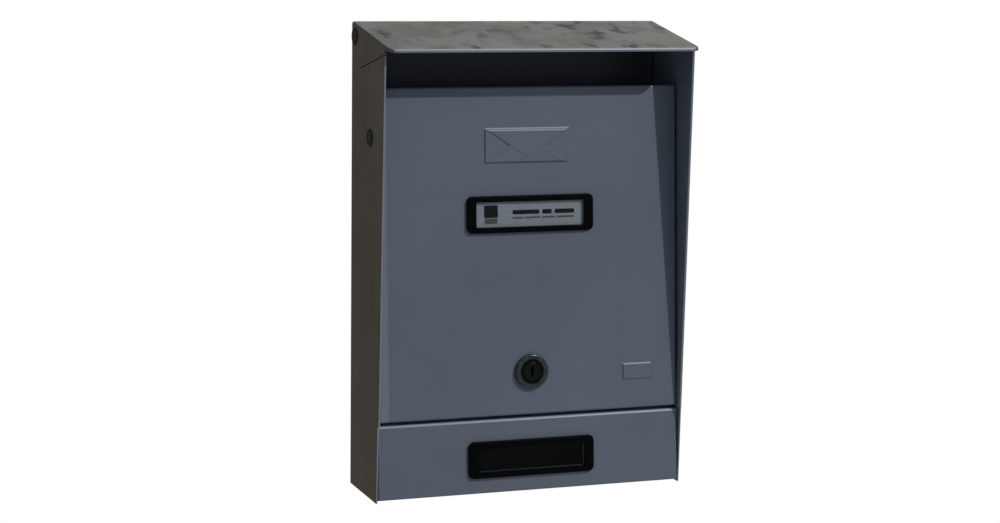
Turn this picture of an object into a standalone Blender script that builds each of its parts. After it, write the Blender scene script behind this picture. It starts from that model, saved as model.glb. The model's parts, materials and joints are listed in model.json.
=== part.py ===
"""Wall mounted letterbox in folded and painted sheet steel.

The box hangs on a wall by its back panel. Two side walls and the sloping roof are one folded
sheet. The door is a shallow pan that swings out and up on two pins, and a cam lock near its
lower edge turns a cam behind the upstand of the base pan.

Metres, +Z up. The wall is the plane y = 0 and the front faces -Y. The origin is the middle of
the back panel's rear face. Heights in the constants are measured from the bottom edge.
"""

import math

import bmesh
import bpy
from mathutils import Matrix, Vector

# Overall size
WIDTH = 0.210
HEIGHT = 0.300
SHEET = 0.0008
GAP = 0.0003
FOLD_RADIUS = 0.0016
HALF = WIDTH / 2
INSIDE = HALF - SHEET

# Roof: slopes down to a hemmed lip in front of the side walls
LIP_REACH = 0.075
ROOF_SLOPE = 14 / 75
LIP_SKIRT = 0.0018
LIP_CORNER = 0.006
ROOF_HEM_HALF_LENGTH = 0.0955

# Side walls: their front edges lean forward towards the top
WING_REACH_BOTTOM = 0.056
WING_REACH_TOP = 0.066
WING_TOP = 0.2845
HEM_DEPTH = 0.006
HEM_RADIUS = 0.00088
HEM_BOTTOM = 0.0484
HEM_TOP = 0.2799
SKIRT_REACH = 0.0655

# Slanted relief slit below the roof, in the left wall
SLIT_WIDTH = 0.0008
SLIT_END = (-0.017, 0.271)
SLIT_START = (-0.070, 0.2827)
RELIEF_RADIUS = 0.0011

# Door and lower panel: parallel planes, leaning back towards the top
FACE_REACH = 0.057
FACE_SLOPE = 0.06
TILT = math.atan(FACE_SLOPE)
DOOR_HALF = 0.1029
DOOR_BOTTOM = 0.0492
DOOR_TOP = 0.2600
DOOR_DEPTH = 0.012
PIVOT_HEIGHT = 0.229
PIVOT_SETBACK = 0.0048

# Base pan
PAN_HALF = INSIDE - GAP
PAN_REACH = 0.056
PAN_TOP = 0.0472
PAN_FLANGE = 0.010
RETURN_REACH = 0.0411
UPSTAND_TOP = 0.059

# Back panel
BACK_BOTTOM = SHEET + GAP
BACK_TOP = 0.2972
BACK_FLANGE = 0.0056
EAR_DEPTH = 0.0115
EAR_HEIGHT = 0.013
SCREW_X = 0.075
SCREW_UPPER = 0.240
SCREW_LOWER = 0.066
SCREW_RADIUS = 0.00325
KEYHOLE_RADIUS = 0.0055
KEYHOLE_DROP = 0.009

# Snap-in pins: two carry the door, two hold the back panel
PIN_HEAD_RADIUS = 0.0055
PIN_HEAD = 0.0013
PIN_RADIUS = 0.0026
PIN_HOLE_RADIUS = 0.0028
PIN_BULB_RADIUS = 0.0030
BACK_PIN = (-0.0063, 0.2907)

# Name holder and inspection window: the same bezel twice
BEZEL = (0.0865, 0.0238)
BEZEL_CORNER = 0.0038
BEZEL_PROUD = 0.0024
BEZEL_OPENING = (0.0730, 0.0154)
BEZEL_LIP = 0.0012
COLLAR = (0.0784, 0.0190)
COLLAR_WALL = 0.0010
COLLAR_DEPTH = 0.0048
PANE = 0.0010
CARD = 0.0004
RETAINER = (0.0840, 0.0246)
RETAINER_BACK = 0.0012
NAME_HEIGHT = 0.1787
WINDOW_HEIGHT = 0.0219

# Cam lock, all depths measured inwards from the door's outer face
LOCK_HEIGHT = 0.0773
COLLAR_RADIUS = 0.01125
COLLAR_PROUD = 0.0030
BODY_RADIUS = 0.0090
BODY_FLAT = 0.0080
BODY_DEPTH = 0.0125
HEAD_RADIUS = 0.0062
HEAD_DEPTH = 0.0018
PLUG_RADIUS = 0.0052
PLUG_PLAY = 0.00015
TENON = 0.0035
NUT_RADIUS = 0.0130
NUT_DEPTH = 0.0032
STOP_RADIUS = 0.0078
STOP_THICKNESS = 0.0008
CAM_THICKNESS = 0.0020
CAM_LENGTH = 0.025
CAM_HALF_WIDTH = 0.0070
WASHER_RADIUS = 0.0055
SCREW_SHANK = 0.0018
SCREW_HEAD_RADIUS = 0.0042
SCREW_LENGTH = 0.0070
KEYWAY = (0.0018, 0.0078)
KEYWAY_DEPTH = 0.0110
WAFERS = 4
WAFER_THICKNESS = 0.0008
WAFER_PITCH = 0.0021

# Embossing on the door
EMBOSS = 0.0007
ENVELOPE = (0.0570, 0.0223)
ENVELOPE_HEIGHT = 0.2228
FLAP_TIP = 0.0078
PLAQUE = (0.0200, 0.0100)
PLAQUE_PLACE = (0.0745, 0.0735)

PARTS = "letterbox"
HELPERS = "cutters"


def clear_scene():
    for obj in list(bpy.data.objects):
        bpy.data.objects.remove(obj)
    for name, hidden in ((PARTS, False), (HELPERS, True)):
        group = bpy.data.collections.new(name)
        group.hide_render = hidden
        bpy.context.scene.collection.children.link(group)


def paint(name, colour, roughness, metallic=0.0, alpha=1.0):
    made = bpy.data.materials.new(name)
    made.use_nodes = True
    shader = made.node_tree.nodes["Principled BSDF"]
    shader.inputs["Base Color"].default_value = (*colour, 1.0)
    shader.inputs["Roughness"].default_value = roughness
    shader.inputs["Metallic"].default_value = metallic
    shader.inputs["Alpha"].default_value = alpha
    made.diffuse_color = (*colour, alpha)
    return made


def add_object(name, mesh, parent, group=PARTS):
    obj = bpy.data.objects.new(name, mesh)
    obj.parent = parent
    bpy.data.collections[group].objects.link(obj)
    return obj


def object_from(name, bm, parent, group=PARTS):
    mesh = bpy.data.meshes.new(name)
    bm.to_mesh(mesh)
    bm.free()
    return add_object(name, mesh, parent, group)


def as_helper(obj):
    """A helper that cuts or joins: kept in the scene, but not a part."""
    for group in list(obj.users_collection):
        group.objects.unlink(obj)
    bpy.data.collections[HELPERS].objects.link(obj)
    obj.hide_render = True
    obj.display_type = "WIRE"
    return obj


def boolean(obj, other, operation):
    as_helper(other)
    modifier = obj.modifiers.new(other.name, "BOOLEAN")
    modifier.object = other
    modifier.operation = operation
    modifier.solver = "EXACT"
    return obj


def cut(obj, *cutters):
    for cutter in cutters:
        boolean(obj, cutter, "DIFFERENCE")
    return obj


def join(obj, *others):
    for other in others:
        boolean(obj, other, "UNION")
    return obj


def finish(obj, material, smooth_angle=35):
    obj.data.materials.clear()
    obj.data.materials.append(material)
    obj.data.shade_smooth()
    obj.data.set_sharp_from_angle(angle=math.radians(smooth_angle))
    return obj


def solidify(obj, thickness=SHEET):
    modifier = obj.modifiers.new("sheet", "SOLIDIFY")
    modifier.thickness = thickness
    modifier.offset = -1
    modifier.use_even_offset = True


def bevel(obj, width, segments=2, angle=30):
    modifier = obj.modifiers.new("edge", "BEVEL")
    modifier.width = width
    modifier.segments = segments
    modifier.limit_method = "ANGLE"
    modifier.angle_limit = math.radians(angle)


def block(name, low, high, parent, group=PARTS):
    """A box between two corners."""
    low, high = Vector(low), Vector(high)
    bm = bmesh.new()
    size = Matrix.Diagonal((*(high - low), 1))
    bmesh.ops.create_cube(bm, size=1, matrix=Matrix.Translation((low + high) / 2) @ size)
    return object_from(name, bm, parent, group)


def rod(name, radius, start, end, parent, segments=24):
    """A round bar between two points."""
    start, end = Vector(start), Vector(end)
    turn = (end - start).to_track_quat("Z", "Y").to_matrix().to_4x4()
    bm = bmesh.new()
    bmesh.ops.create_cone(
        bm,
        cap_ends=True,
        segments=segments,
        radius1=radius,
        radius2=radius,
        depth=(end - start).length,
        matrix=Matrix.Translation((start + end) / 2) @ turn,
    )
    return object_from(name, bm, parent)


def mesh_of(curve_object):
    """Replaces a curve object by the closed mesh it draws."""
    bpy.context.view_layer.update()
    graph = bpy.context.evaluated_depsgraph_get()
    mesh = bpy.data.meshes.new_from_object(curve_object.evaluated_get(graph))
    bm = bmesh.new()
    bm.from_mesh(mesh)
    bmesh.ops.remove_doubles(bm, verts=bm.verts, dist=0.000001)
    bmesh.ops.recalc_face_normals(bm, faces=bm.faces)
    bm.to_mesh(mesh)
    bm.free()
    name = curve_object.name
    parent, basis = curve_object.parent, curve_object.matrix_basis.copy()
    bpy.data.objects.remove(curve_object)
    obj = add_object(name, mesh, parent)
    obj.matrix_basis = basis
    return obj


def flat_plate(name, outline, thickness, parent):
    """A flat outline in its own XY plane, centred on its thickness."""
    curve = bpy.data.curves.new(name, "CURVE")
    curve.dimensions = "2D"
    curve.fill_mode = "BOTH"
    curve.extrude = thickness / 2
    spline = curve.splines.new("POLY")
    spline.points.add(len(outline) - 1)
    for point, (x, y) in zip(spline.points, outline):
        point.co = (x, y, 0, 1)
    spline.use_cyclic_u = True
    obj = bpy.data.objects.new(name, curve)
    obj.parent = parent
    bpy.data.collections[PARTS].objects.link(obj)
    return obj


def side_plate(name, outline, low_x, high_x, parent):
    """A plate whose outline is drawn in (y, z), reaching from low_x to high_x."""
    obj = flat_plate(name, outline, high_x - low_x, parent)
    obj.matrix_basis = Matrix.Translation(((low_x + high_x) / 2, 0, 0)) @ Matrix(
        ((0, 0, 1, 0), (1, 0, 0, 0), (0, 1, 0, 0), (0, 0, 0, 1))
    )
    return mesh_of(obj)


def front_plate(name, outline, near, far, parent, centre=(0, 0)):
    """A plate whose outline is drawn in (x, z), reaching from y = near to y = far."""
    moved = [(centre[0] + x, centre[1] + z) for x, z in outline]
    obj = flat_plate(name, moved, far - near, parent)
    obj.matrix_basis = Matrix.Translation((0, (near + far) / 2, 0)) @ Matrix.Rotation(
        math.pi / 2, 4, "X"
    )
    return mesh_of(obj)


def top_plate(name, outline, low_z, high_z, parent):
    """A plate whose outline is drawn in (x, y), reaching from low_z to high_z."""
    obj = flat_plate(name, outline, high_z - low_z, parent)
    obj.location = (0, 0, (low_z + high_z) / 2)
    return mesh_of(obj)


def front_corners(radius):
    """What is trimmed off in front of the lip, to leave it with rounded corners in plan."""
    beyond = 0.01
    edge = [(-HALF - beyond, -LIP_REACH + radius)]
    edge += arc((-HALF + radius, -LIP_REACH + radius), radius, 180, 258, 6)
    edge += [(-HALF + radius, -LIP_REACH - 0.0001), (HALF - radius, -LIP_REACH - 0.0001)]
    edge += arc((HALF - radius, -LIP_REACH + radius), radius, 282, 360, 6)
    edge += [(HALF + beyond, -LIP_REACH + radius)]
    edge += [(HALF + beyond, -LIP_REACH - beyond), (-HALF - beyond, -LIP_REACH - beyond)]
    return edge


def arc(centre, radius, start, end, steps):
    for step in range(steps + 1):
        angle = math.radians(start + (end - start) * step / steps)
        yield centre[0] + radius * math.cos(angle), centre[1] + radius * math.sin(angle)


def rounded_rectangle(size, radius, steps=4):
    half_x, half_z = size[0] / 2 - radius, size[1] / 2 - radius
    outline = []
    for quarter, (sx, sz) in enumerate(((1, 1), (-1, 1), (-1, -1), (1, -1))):
        start = 90 * quarter
        outline += arc((sx * half_x, sz * half_z), radius, start, start + 90, steps)
    return outline


def turned(name, profile, parent, steps=48):
    """A profile of (radius, height) pairs turned about the piece's own Z axis.

    A profile that is listed down the outer side, and closed through the bore or the axis.
    """
    bm = bmesh.new()
    points = [bm.verts.new((radius, 0, height)) for radius, height in profile]
    closed = min(radius for radius, _ in profile) > 0
    for first, second in zip(points, points[1:]):
        bm.edges.new((first, second))
    if closed:
        bm.edges.new((points[-1], points[0]))
    obj = object_from(name, bm, parent)
    screw = obj.modifiers.new("turn", "SCREW")
    screw.steps = steps
    screw.render_steps = steps
    screw.use_merge_vertices = True
    screw.merge_threshold = 0.00001
    return obj


def turned_outwards(name, profile, parent, place, axis):
    """A turned piece whose own +Z points along axis."""
    obj = turned(name, profile, parent)
    obj.location = place
    obj.rotation_euler = Vector(axis).to_track_quat("Z", "Y").to_euler()
    return obj


def face_reach(height, reach=FACE_REACH):
    """How far the door's plane stands in front of the wall at a height."""
    return reach - FACE_SLOPE * height


def wing_reach(height):
    return WING_REACH_BOTTOM + (WING_REACH_TOP - WING_REACH_BOTTOM) * height / WING_TOP


def roof_height(reach):
    return HEIGHT - ROOF_SLOPE * reach


def make_casing(root, material):
    """Side walls and roof: one sheet, folded along the roof's two sides."""
    bm = bmesh.new()
    bmesh.ops.create_cube(bm, size=1)
    for vertex in bm.verts:
        vertex.co.x = math.copysign(HALF, vertex.co.x)
        reach = LIP_REACH if vertex.co.y < 0 else 0.0
        vertex.co.y = -reach
        vertex.co.z = roof_height(reach) if vertex.co.z > 0 else 0.0
    kept = [f for f in bm.faces if abs(f.normal.x) > 0.9 or f.normal.z > 0.5]
    bmesh.ops.delete(bm, geom=[f for f in bm.faces if f not in kept], context="FACES_ONLY")
    casing = object_from("casing", bm, root)
    bevel(casing, FOLD_RADIUS, segments=4)
    solidify(casing)

    beyond = 0.02
    skirt_top = roof_height(SKIRT_REACH) - LIP_SKIRT
    front = [
        (-wing_reach(-beyond), -beyond),
        (-wing_reach(WING_TOP), WING_TOP),
        (-SKIRT_REACH, WING_TOP),
        (-SKIRT_REACH, skirt_top),
        (-LIP_REACH - beyond, skirt_top - ROOF_SLOPE * (LIP_REACH + beyond - SKIRT_REACH)),
        (-LIP_REACH - beyond, -beyond),
    ]
    cut(casing, side_plate("wing_trim", front, -HALF - beyond, HALF + beyond, root))

    corners = front_corners(LIP_CORNER)
    cut(casing, top_plate("lip_corners", corners, 0.25, 0.32, root))

    run = Vector(SLIT_START) - Vector(SLIT_END)
    across = run.normalized().orthogonal() * SLIT_WIDTH / 2
    slit = [Vector(SLIT_START) + across, Vector(SLIT_END) + across]
    slit += [Vector(SLIT_END) - across, Vector(SLIT_START) - across]
    wide = Vector((HALF + beyond, 0, 0))
    cut(casing, side_plate("slit", [tuple(p) for p in slit], -wide.x, -INSIDE + 0.002, root))
    relief = Vector((0, *SLIT_END))
    inner = Vector((-INSIDE + 0.002, 0, 0))
    cut(casing, rod("relief", RELIEF_RADIUS, relief - wide, relief + inner, root))
    for name, radius, (y, z) in (
        ("hinge_holes", PIN_HOLE_RADIUS, pivot_place()),
        ("back_pin_holes", PIN_HOLE_RADIUS, BACK_PIN),
    ):
        centre = Vector((0, y, z))
        cut(casing, rod(name, radius, centre - wide, centre + wide, root))

    for side, sign in (("left", -1), ("right", 1)):
        low = Vector((sign * (HALF - HEM_RADIUS - 0.00005), -wing_reach(HEM_BOTTOM), HEM_BOTTOM))
        high = Vector((low.x, -wing_reach(HEM_TOP), HEM_TOP))
        back = Vector((0, HEM_RADIUS, 0))
        leaf = [
            (low.y + HEM_RADIUS, low.z),
            (high.y + HEM_RADIUS, high.z),
            (high.y + HEM_DEPTH, high.z),
            (low.y + HEM_DEPTH, low.z),
        ]
        faces = sorted((sign * (HALF - 2 * HEM_RADIUS), sign * (HALF - 0.0004)))
        join(
            casing,
            side_plate(f"hem_leaf_{side}", leaf, *faces, root),
            rod(f"hem_{side}", HEM_RADIUS, low + back, high + back, root, 12),
        )

    lip = Vector((0, -LIP_REACH, roof_height(LIP_REACH)))
    hem_centre = lip + Vector((0, 0.0007, -HEM_RADIUS - 0.0001))
    along = Vector((ROOF_HEM_HALF_LENGTH, 0, 0))
    hem_drop = ROOF_SLOPE * HEM_DEPTH
    leaf = [
        (hem_centre.y, hem_centre.z - HEM_RADIUS + 0.0001),
        (hem_centre.y, hem_centre.z),
        (hem_centre.y + HEM_DEPTH, hem_centre.z + hem_drop),
        (hem_centre.y + HEM_DEPTH, hem_centre.z + hem_drop - HEM_RADIUS + 0.0001),
    ]
    join(
        casing,
        side_plate("roof_hem_leaf", leaf, -ROOF_HEM_HALF_LENGTH, ROOF_HEM_HALF_LENGTH, root),
        rod("roof_hem", HEM_RADIUS, hem_centre - along, hem_centre + along, root, 12),
    )
    return finish(casing, material)


def make_back_panel(root, material):
    """A shallow pan with its flanges forward, and an ear for a pin at each upper corner."""
    bm = bmesh.new()
    bmesh.ops.create_cube(bm, size=1)
    for vertex in bm.verts:
        vertex.co.x = math.copysign(PAN_HALF, vertex.co.x)
        vertex.co.y = -BACK_FLANGE if vertex.co.y < 0 else 0.0
        vertex.co.z = BACK_TOP if vertex.co.z > 0 else BACK_BOTTOM
    front = [f for f in bm.faces if f.normal.y < -0.5]
    bmesh.ops.delete(bm, geom=front, context="FACES_ONLY")
    panel = object_from("back_panel", bm, root)
    bevel(panel, FOLD_RADIUS, segments=3)
    solidify(panel)

    through = Vector((0, 0.01, 0))
    for side, sign in (("left", -1), ("right", 1)):
        faces = sorted((sign * (PAN_HALF - 0.0001), sign * (PAN_HALF - SHEET + 0.0001)))
        ear = block(
            f"ear_{side}",
            (faces[0], -EAR_DEPTH, BACK_TOP - EAR_HEIGHT),
            (faces[1], -0.0025, BACK_TOP - 1.5 * FOLD_RADIUS),
            root,
        )
        join(panel, ear)
    wide = Vector((HALF, 0, 0))
    pins = Vector((0, *BACK_PIN))
    cut(panel, rod("ear_holes", PIN_HOLE_RADIUS, pins - wide, pins + wide, root))

    for side, sign in (("left", -1), ("right", 1)):
        top = Vector((sign * SCREW_X, 0, SCREW_UPPER))
        drop = top - Vector((0, 0, KEYHOLE_DROP))
        slot = block(
            f"screw_slot_{side}",
            drop - Vector((0.8 * SCREW_RADIUS, 0.01, 0)),
            top + Vector((0.8 * SCREW_RADIUS, 0.01, 0)),
            root,
        )
        low = Vector((sign * SCREW_X, 0, SCREW_LOWER))
        cut(
            panel,
            rod(f"screw_top_{side}", SCREW_RADIUS, top - through, top + through, root),
            slot,
            rod(f"screw_entry_{side}", KEYHOLE_RADIUS, drop - through, drop + through, root),
            rod(f"screw_low_{side}", SCREW_RADIUS, low - through, low + through, root),
        )
    return finish(panel, material)


def make_base_pan(root, material):
    """Floor, lower front panel, top return and upstand from one strip, with side flanges."""
    lean = FACE_SLOPE * PAN_TOP
    profile = [
        (-GAP, 0.0),
        (-PAN_REACH, 0.0),
        (-PAN_REACH + lean, PAN_TOP),
        (-RETURN_REACH, PAN_TOP),
        (-RETURN_REACH, UPSTAND_TOP),
    ]
    half = PAN_HALF - SHEET / 2
    bm = bmesh.new()
    chain = [bm.verts.new((-half, y, z)) for y, z in profile]
    edges = [bm.edges.new(pair) for pair in zip(chain, chain[1:])]
    swept = bmesh.ops.extrude_edge_only(bm, edges=edges)["geom"]
    moved = [v for v in swept if isinstance(v, bmesh.types.BMVert)]
    bmesh.ops.translate(bm, verts=moved, vec=(2 * half, 0, 0))
    pan = object_from("base_pan", bm, root)
    if min(pan.data.polygons, key=lambda face: face.center.z).normal.z > 0:
        pan.data.flip_normals()
    bevel(pan, FOLD_RADIUS, segments=3)
    solidify(pan)

    inset = 0.0002
    step = PAN_FLANGE
    rear = -BACK_FLANGE - 2 * GAP
    flange = [
        (-PAN_REACH + inset, inset),
        (-PAN_REACH + lean + inset, PAN_TOP - FOLD_RADIUS),
        (-PAN_REACH + lean + step, PAN_TOP - FOLD_RADIUS),
        (-PAN_REACH + step + 0.002, step),
        (rear, step),
        (rear, inset),
    ]
    for side, sign in (("left", -1), ("right", 1)):
        faces = sorted((sign * (PAN_HALF - SHEET), sign * PAN_HALF))
        join(pan, side_plate(f"pan_flange_{side}", flange, *faces, root))

    lower = bpy.data.objects.new("lower_front", None)
    lower.parent = root
    lower.location = (0, -PAN_REACH, 0)
    lower.rotation_euler = (-TILT, 0, 0)
    bpy.data.collections[PARTS].objects.link(lower)
    opening = cutout("window_cutout", lower, WINDOW_HEIGHT / math.cos(TILT))
    cut(pan, opening)
    return finish(pan, material), lower


def pivot_place():
    """The hinge axis in (y, z): behind the door's outer face."""
    return (-face_reach(PIVOT_HEIGHT) + PIVOT_SETBACK, PIVOT_HEIGHT)


def door_up(height):
    """Distance up the door's sheet, from the hinge axis."""
    return (height - PIVOT_HEIGHT) / math.cos(TILT)


def cutout(name, parent, up, face=0.0):
    """The hole that a bezel's collar goes through."""
    size = (COLLAR[0] + 2 * GAP, COLLAR[1] + 2 * GAP)
    corner = rounded_rectangle(size, 0.0015, 2)
    return front_plate(name, corner, face - 0.003, face + 0.004, parent, (0, up))


def make_door(hinge, material):
    """A pan with its flanges inwards, embossed, and pierced for the name holder and the lock."""
    face = -PIVOT_SETBACK
    bm = bmesh.new()
    bmesh.ops.create_cube(bm, size=1)
    for vertex in bm.verts:
        vertex.co.x = math.copysign(DOOR_HALF, vertex.co.x)
        vertex.co.y = face if vertex.co.y < 0 else face + DOOR_DEPTH
        vertex.co.z = door_up(DOOR_TOP if vertex.co.z > 0 else DOOR_BOTTOM)
    rear = [f for f in bm.faces if f.normal.y > 0.5]
    bmesh.ops.delete(bm, geom=rear, context="FACES_ONLY")
    door = object_from("door", bm, hinge)
    bevel(door, FOLD_RADIUS, segments=3)
    solidify(door)

    envelope = front_plate(
        "envelope",
        rounded_rectangle(ENVELOPE, 0.0008, 2),
        face - EMBOSS,
        face + SHEET / 2,
        hinge,
        (0, door_up(ENVELOPE_HEIGHT)),
    )
    bevel(envelope, 0.0004, segments=1)
    plaque = front_plate(
        "plaque",
        rounded_rectangle(PLAQUE, 0.0024, 3),
        face - EMBOSS,
        face + SHEET / 2,
        hinge,
        (PLAQUE_PLACE[0], door_up(PLAQUE_PLACE[1])),
    )
    bevel(plaque, 0.0004, segments=1)
    join(door, envelope, plaque)
    half_x, half_z = ENVELOPE[0] / 2, ENVELOPE[1] / 2
    middle = door_up(ENVELOPE_HEIGHT)
    tip = Vector((0, face - EMBOSS - 0.0001, middle - FLAP_TIP))
    for side, sign in (("left", -1), ("right", 1)):
        corner = Vector((sign * (half_x - 0.0005), tip.y, middle + half_z - 0.0005))
        cut(door, rod(f"flap_{side}", 0.0004, corner, tip, hinge, 8))

    cut(door, cutout("name_cutout", hinge, door_up(NAME_HEIGHT), face))
    lock = Vector((0, face, door_up(LOCK_HEIGHT)))
    through = Vector((0, 0.006, 0))
    hole = rod("lock_hole", BODY_RADIUS + GAP, lock - through, lock + through, hinge, 48)
    for side, sign in (("left", -1), ("right", 1)):
        flat = sign * (BODY_FLAT + GAP)
        low, high = sorted((flat, sign * 0.012))
        keep = block(f"lock_hole_flat_{side}", (low, -0.02, -0.3), (high, 0.02, 0), hinge)
        cut(hole, keep)
    cut(door, hole)
    wide = Vector((HALF, 0, 0))
    cut(door, rod("pin_holes", PIN_HOLE_RADIUS, -wide, wide, hinge))
    return finish(door, material)


def make_pin(name, sign, place, shank_end, root, material):
    """A snap-in pin: low domed head outside the wall, shank through it, bulb at the inner end."""
    head = HALF + GAP
    bulb = shank_end - 0.0012
    tip = shank_end - 0.0030
    profile = [
        (0.0, head + PIN_HEAD),
        (PIN_HEAD_RADIUS * 0.45, head + PIN_HEAD * 0.96),
        (PIN_HEAD_RADIUS * 0.80, head + PIN_HEAD * 0.78),
        (PIN_HEAD_RADIUS * 0.97, head + PIN_HEAD * 0.45),
        (PIN_HEAD_RADIUS, head + PIN_HEAD * 0.20),
        (PIN_HEAD_RADIUS, head),
        (PIN_RADIUS, head),
        (PIN_RADIUS, shank_end),
        (PIN_BULB_RADIUS, bulb),
        (PIN_RADIUS * 0.6, tip),
        (0.0, tip),
    ]
    pin = turned_outwards(name, profile, root, (0, *place), (sign, 0, 0))
    pin.modifiers["turn"].steps = 32
    pin.modifiers["turn"].render_steps = 32
    return finish(pin, material)


def make_bezel(name, parent, up, face, material):
    """Rounded front frame with a collar that goes through the sheet."""
    front = face - GAP - BEZEL_PROUD
    bezel = front_plate(
        name, rounded_rectangle(BEZEL, BEZEL_CORNER, 6), front, face - GAP, parent, (0, up)
    )
    bevel(bezel, 0.0007, segments=2, angle=60)
    collar = front_plate(
        f"{name}_collar",
        rounded_rectangle(COLLAR, 0.0012, 2),
        face - GAP - 0.0010,
        face + COLLAR_DEPTH,
        parent,
        (0, up),
    )
    recess_size = (COLLAR[0] - 2 * COLLAR_WALL, COLLAR[1] - 2 * COLLAR_WALL)
    recess = front_plate(
        f"{name}_recess",
        rounded_rectangle(recess_size, 0.0006, 2),
        front + BEZEL_LIP,
        face + COLLAR_DEPTH + 0.002,
        parent,
        (0, up),
    )
    opening = front_plate(
        f"{name}_opening",
        rounded_rectangle(BEZEL_OPENING, 0.0008, 2),
        front - 0.002,
        front + BEZEL_LIP + 0.001,
        parent,
        (0, up),
    )
    join(bezel, collar)
    cut(bezel, recess, opening)
    return finish(bezel, material)


def recess_plate(name, near, thickness, parent, up, material):
    """A thin sheet that fits in the bezel's recess."""
    clear = 2 * (COLLAR_WALL + GAP)
    size = (COLLAR[0] - clear, COLLAR[1] - clear)
    outline = rounded_rectangle(size, 0.0004, 2)
    plate = front_plate(name, outline, near, near + thickness, parent, (0, up))
    return finish(plate, material)


def make_retainer(name, parent, up, face, near, material, open_frame):
    """A cap pushed over the collar's inner end: its boss holds what lies in the recess."""
    start = face + SHEET + GAP
    collar_end = face + COLLAR_DEPTH + GAP
    back = collar_end + RETAINER_BACK
    cap = front_plate(
        name, rounded_rectangle(RETAINER, 0.0020, 3), start, back, parent, (0, up)
    )
    outer = (COLLAR[0] + 2 * GAP, COLLAR[1] + 2 * GAP)
    socket = front_plate(
        f"{name}_socket",
        rounded_rectangle(outer, 0.0015, 2),
        start - 0.002,
        collar_end,
        parent,
        (0, up),
    )
    inner_clear = 2 * (COLLAR_WALL + GAP)
    boss_size = (COLLAR[0] - inner_clear, COLLAR[1] - inner_clear)
    boss = front_plate(
        f"{name}_boss",
        rounded_rectangle(boss_size, 0.0004, 2),
        near,
        collar_end + RETAINER_BACK / 2,
        parent,
        (0, up),
    )
    cut(cap, socket)
    join(cap, boss)
    if open_frame:
        size = (BEZEL_OPENING[0], BEZEL_OPENING[1] - 0.0016)
        window = front_plate(
            f"{name}_window",
            rounded_rectangle(size, 0.0008, 2),
            near - 0.002,
            back + 0.002,
            parent,
            (0, up),
        )
        cut(cap, window)
    return finish(cap, material)


def make_name_holder(hinge, materials):
    face = -PIVOT_SETBACK
    up = door_up(NAME_HEIGHT)
    seat = face - GAP - BEZEL_PROUD + BEZEL_LIP + GAP
    make_bezel("name_bezel", hinge, up, face, materials["black plastic"])
    recess_plate("name_window", seat, PANE, hinge, up, materials["clear plastic"])
    card = seat + PANE + GAP
    recess_plate("name_card", card, CARD, hinge, up, materials["card"])
    make_retainer(
        "name_retainer", hinge, up, face, card + CARD + GAP, materials["black plastic"], False
    )


def make_lower_window(lower, materials):
    up = WINDOW_HEIGHT / math.cos(TILT)
    seat = -GAP - BEZEL_PROUD + BEZEL_LIP + GAP
    make_bezel("window_bezel", lower, up, 0.0, materials["black plastic"])
    recess_plate("window_pane", seat, PANE, lower, up, materials["clear plastic"])
    make_retainer(
        "window_retainer", lower, up, 0.0, seat + PANE + GAP, materials["black plastic"], True
    )


def lock_piece(name, profile, lock):
    """A turned lock piece: heights are distances in front of the door's outer face."""
    obj = turned(name, profile, lock)
    obj.rotation_euler = (math.pi / 2, 0, 0)
    return obj


def make_lock_housing(lock, materials):
    bore = PLUG_RADIUS + PLUG_PLAY
    head_bore = HEAD_RADIUS + PLUG_PLAY
    seat = COLLAR_PROUD - 0.0004 - HEAD_DEPTH - PLUG_PLAY
    profile = [
        (head_bore + 0.0004, COLLAR_PROUD),
        (COLLAR_RADIUS - 0.0018, COLLAR_PROUD),
        (COLLAR_RADIUS - 0.0007, COLLAR_PROUD - 0.0004),
        (COLLAR_RADIUS, COLLAR_PROUD - 0.0013),
        (COLLAR_RADIUS, GAP),
        (BODY_RADIUS, GAP),
        (BODY_RADIUS, -BODY_DEPTH),
        (bore, -BODY_DEPTH),
        (bore, seat),
        (head_bore, seat),
        (head_bore, COLLAR_PROUD - 0.0004),
    ]
    housing = lock_piece("lock_housing", profile, lock)
    for side, sign in (("left", -1), ("right", 1)):
        low, high = sorted((sign * BODY_FLAT, sign * 0.012))
        flat = block(f"body_flat_{side}", (low, -GAP * 0.7, -0.012), (high, 0.02, 0.012), lock)
        cut(housing, flat)
    return finish(housing, materials["dark chrome"])


def wafer_centre(index):
    """How deep in the plug each wafer sits, from the door's outer face."""
    return 0.0016 + WAFER_PITCH * index


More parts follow.
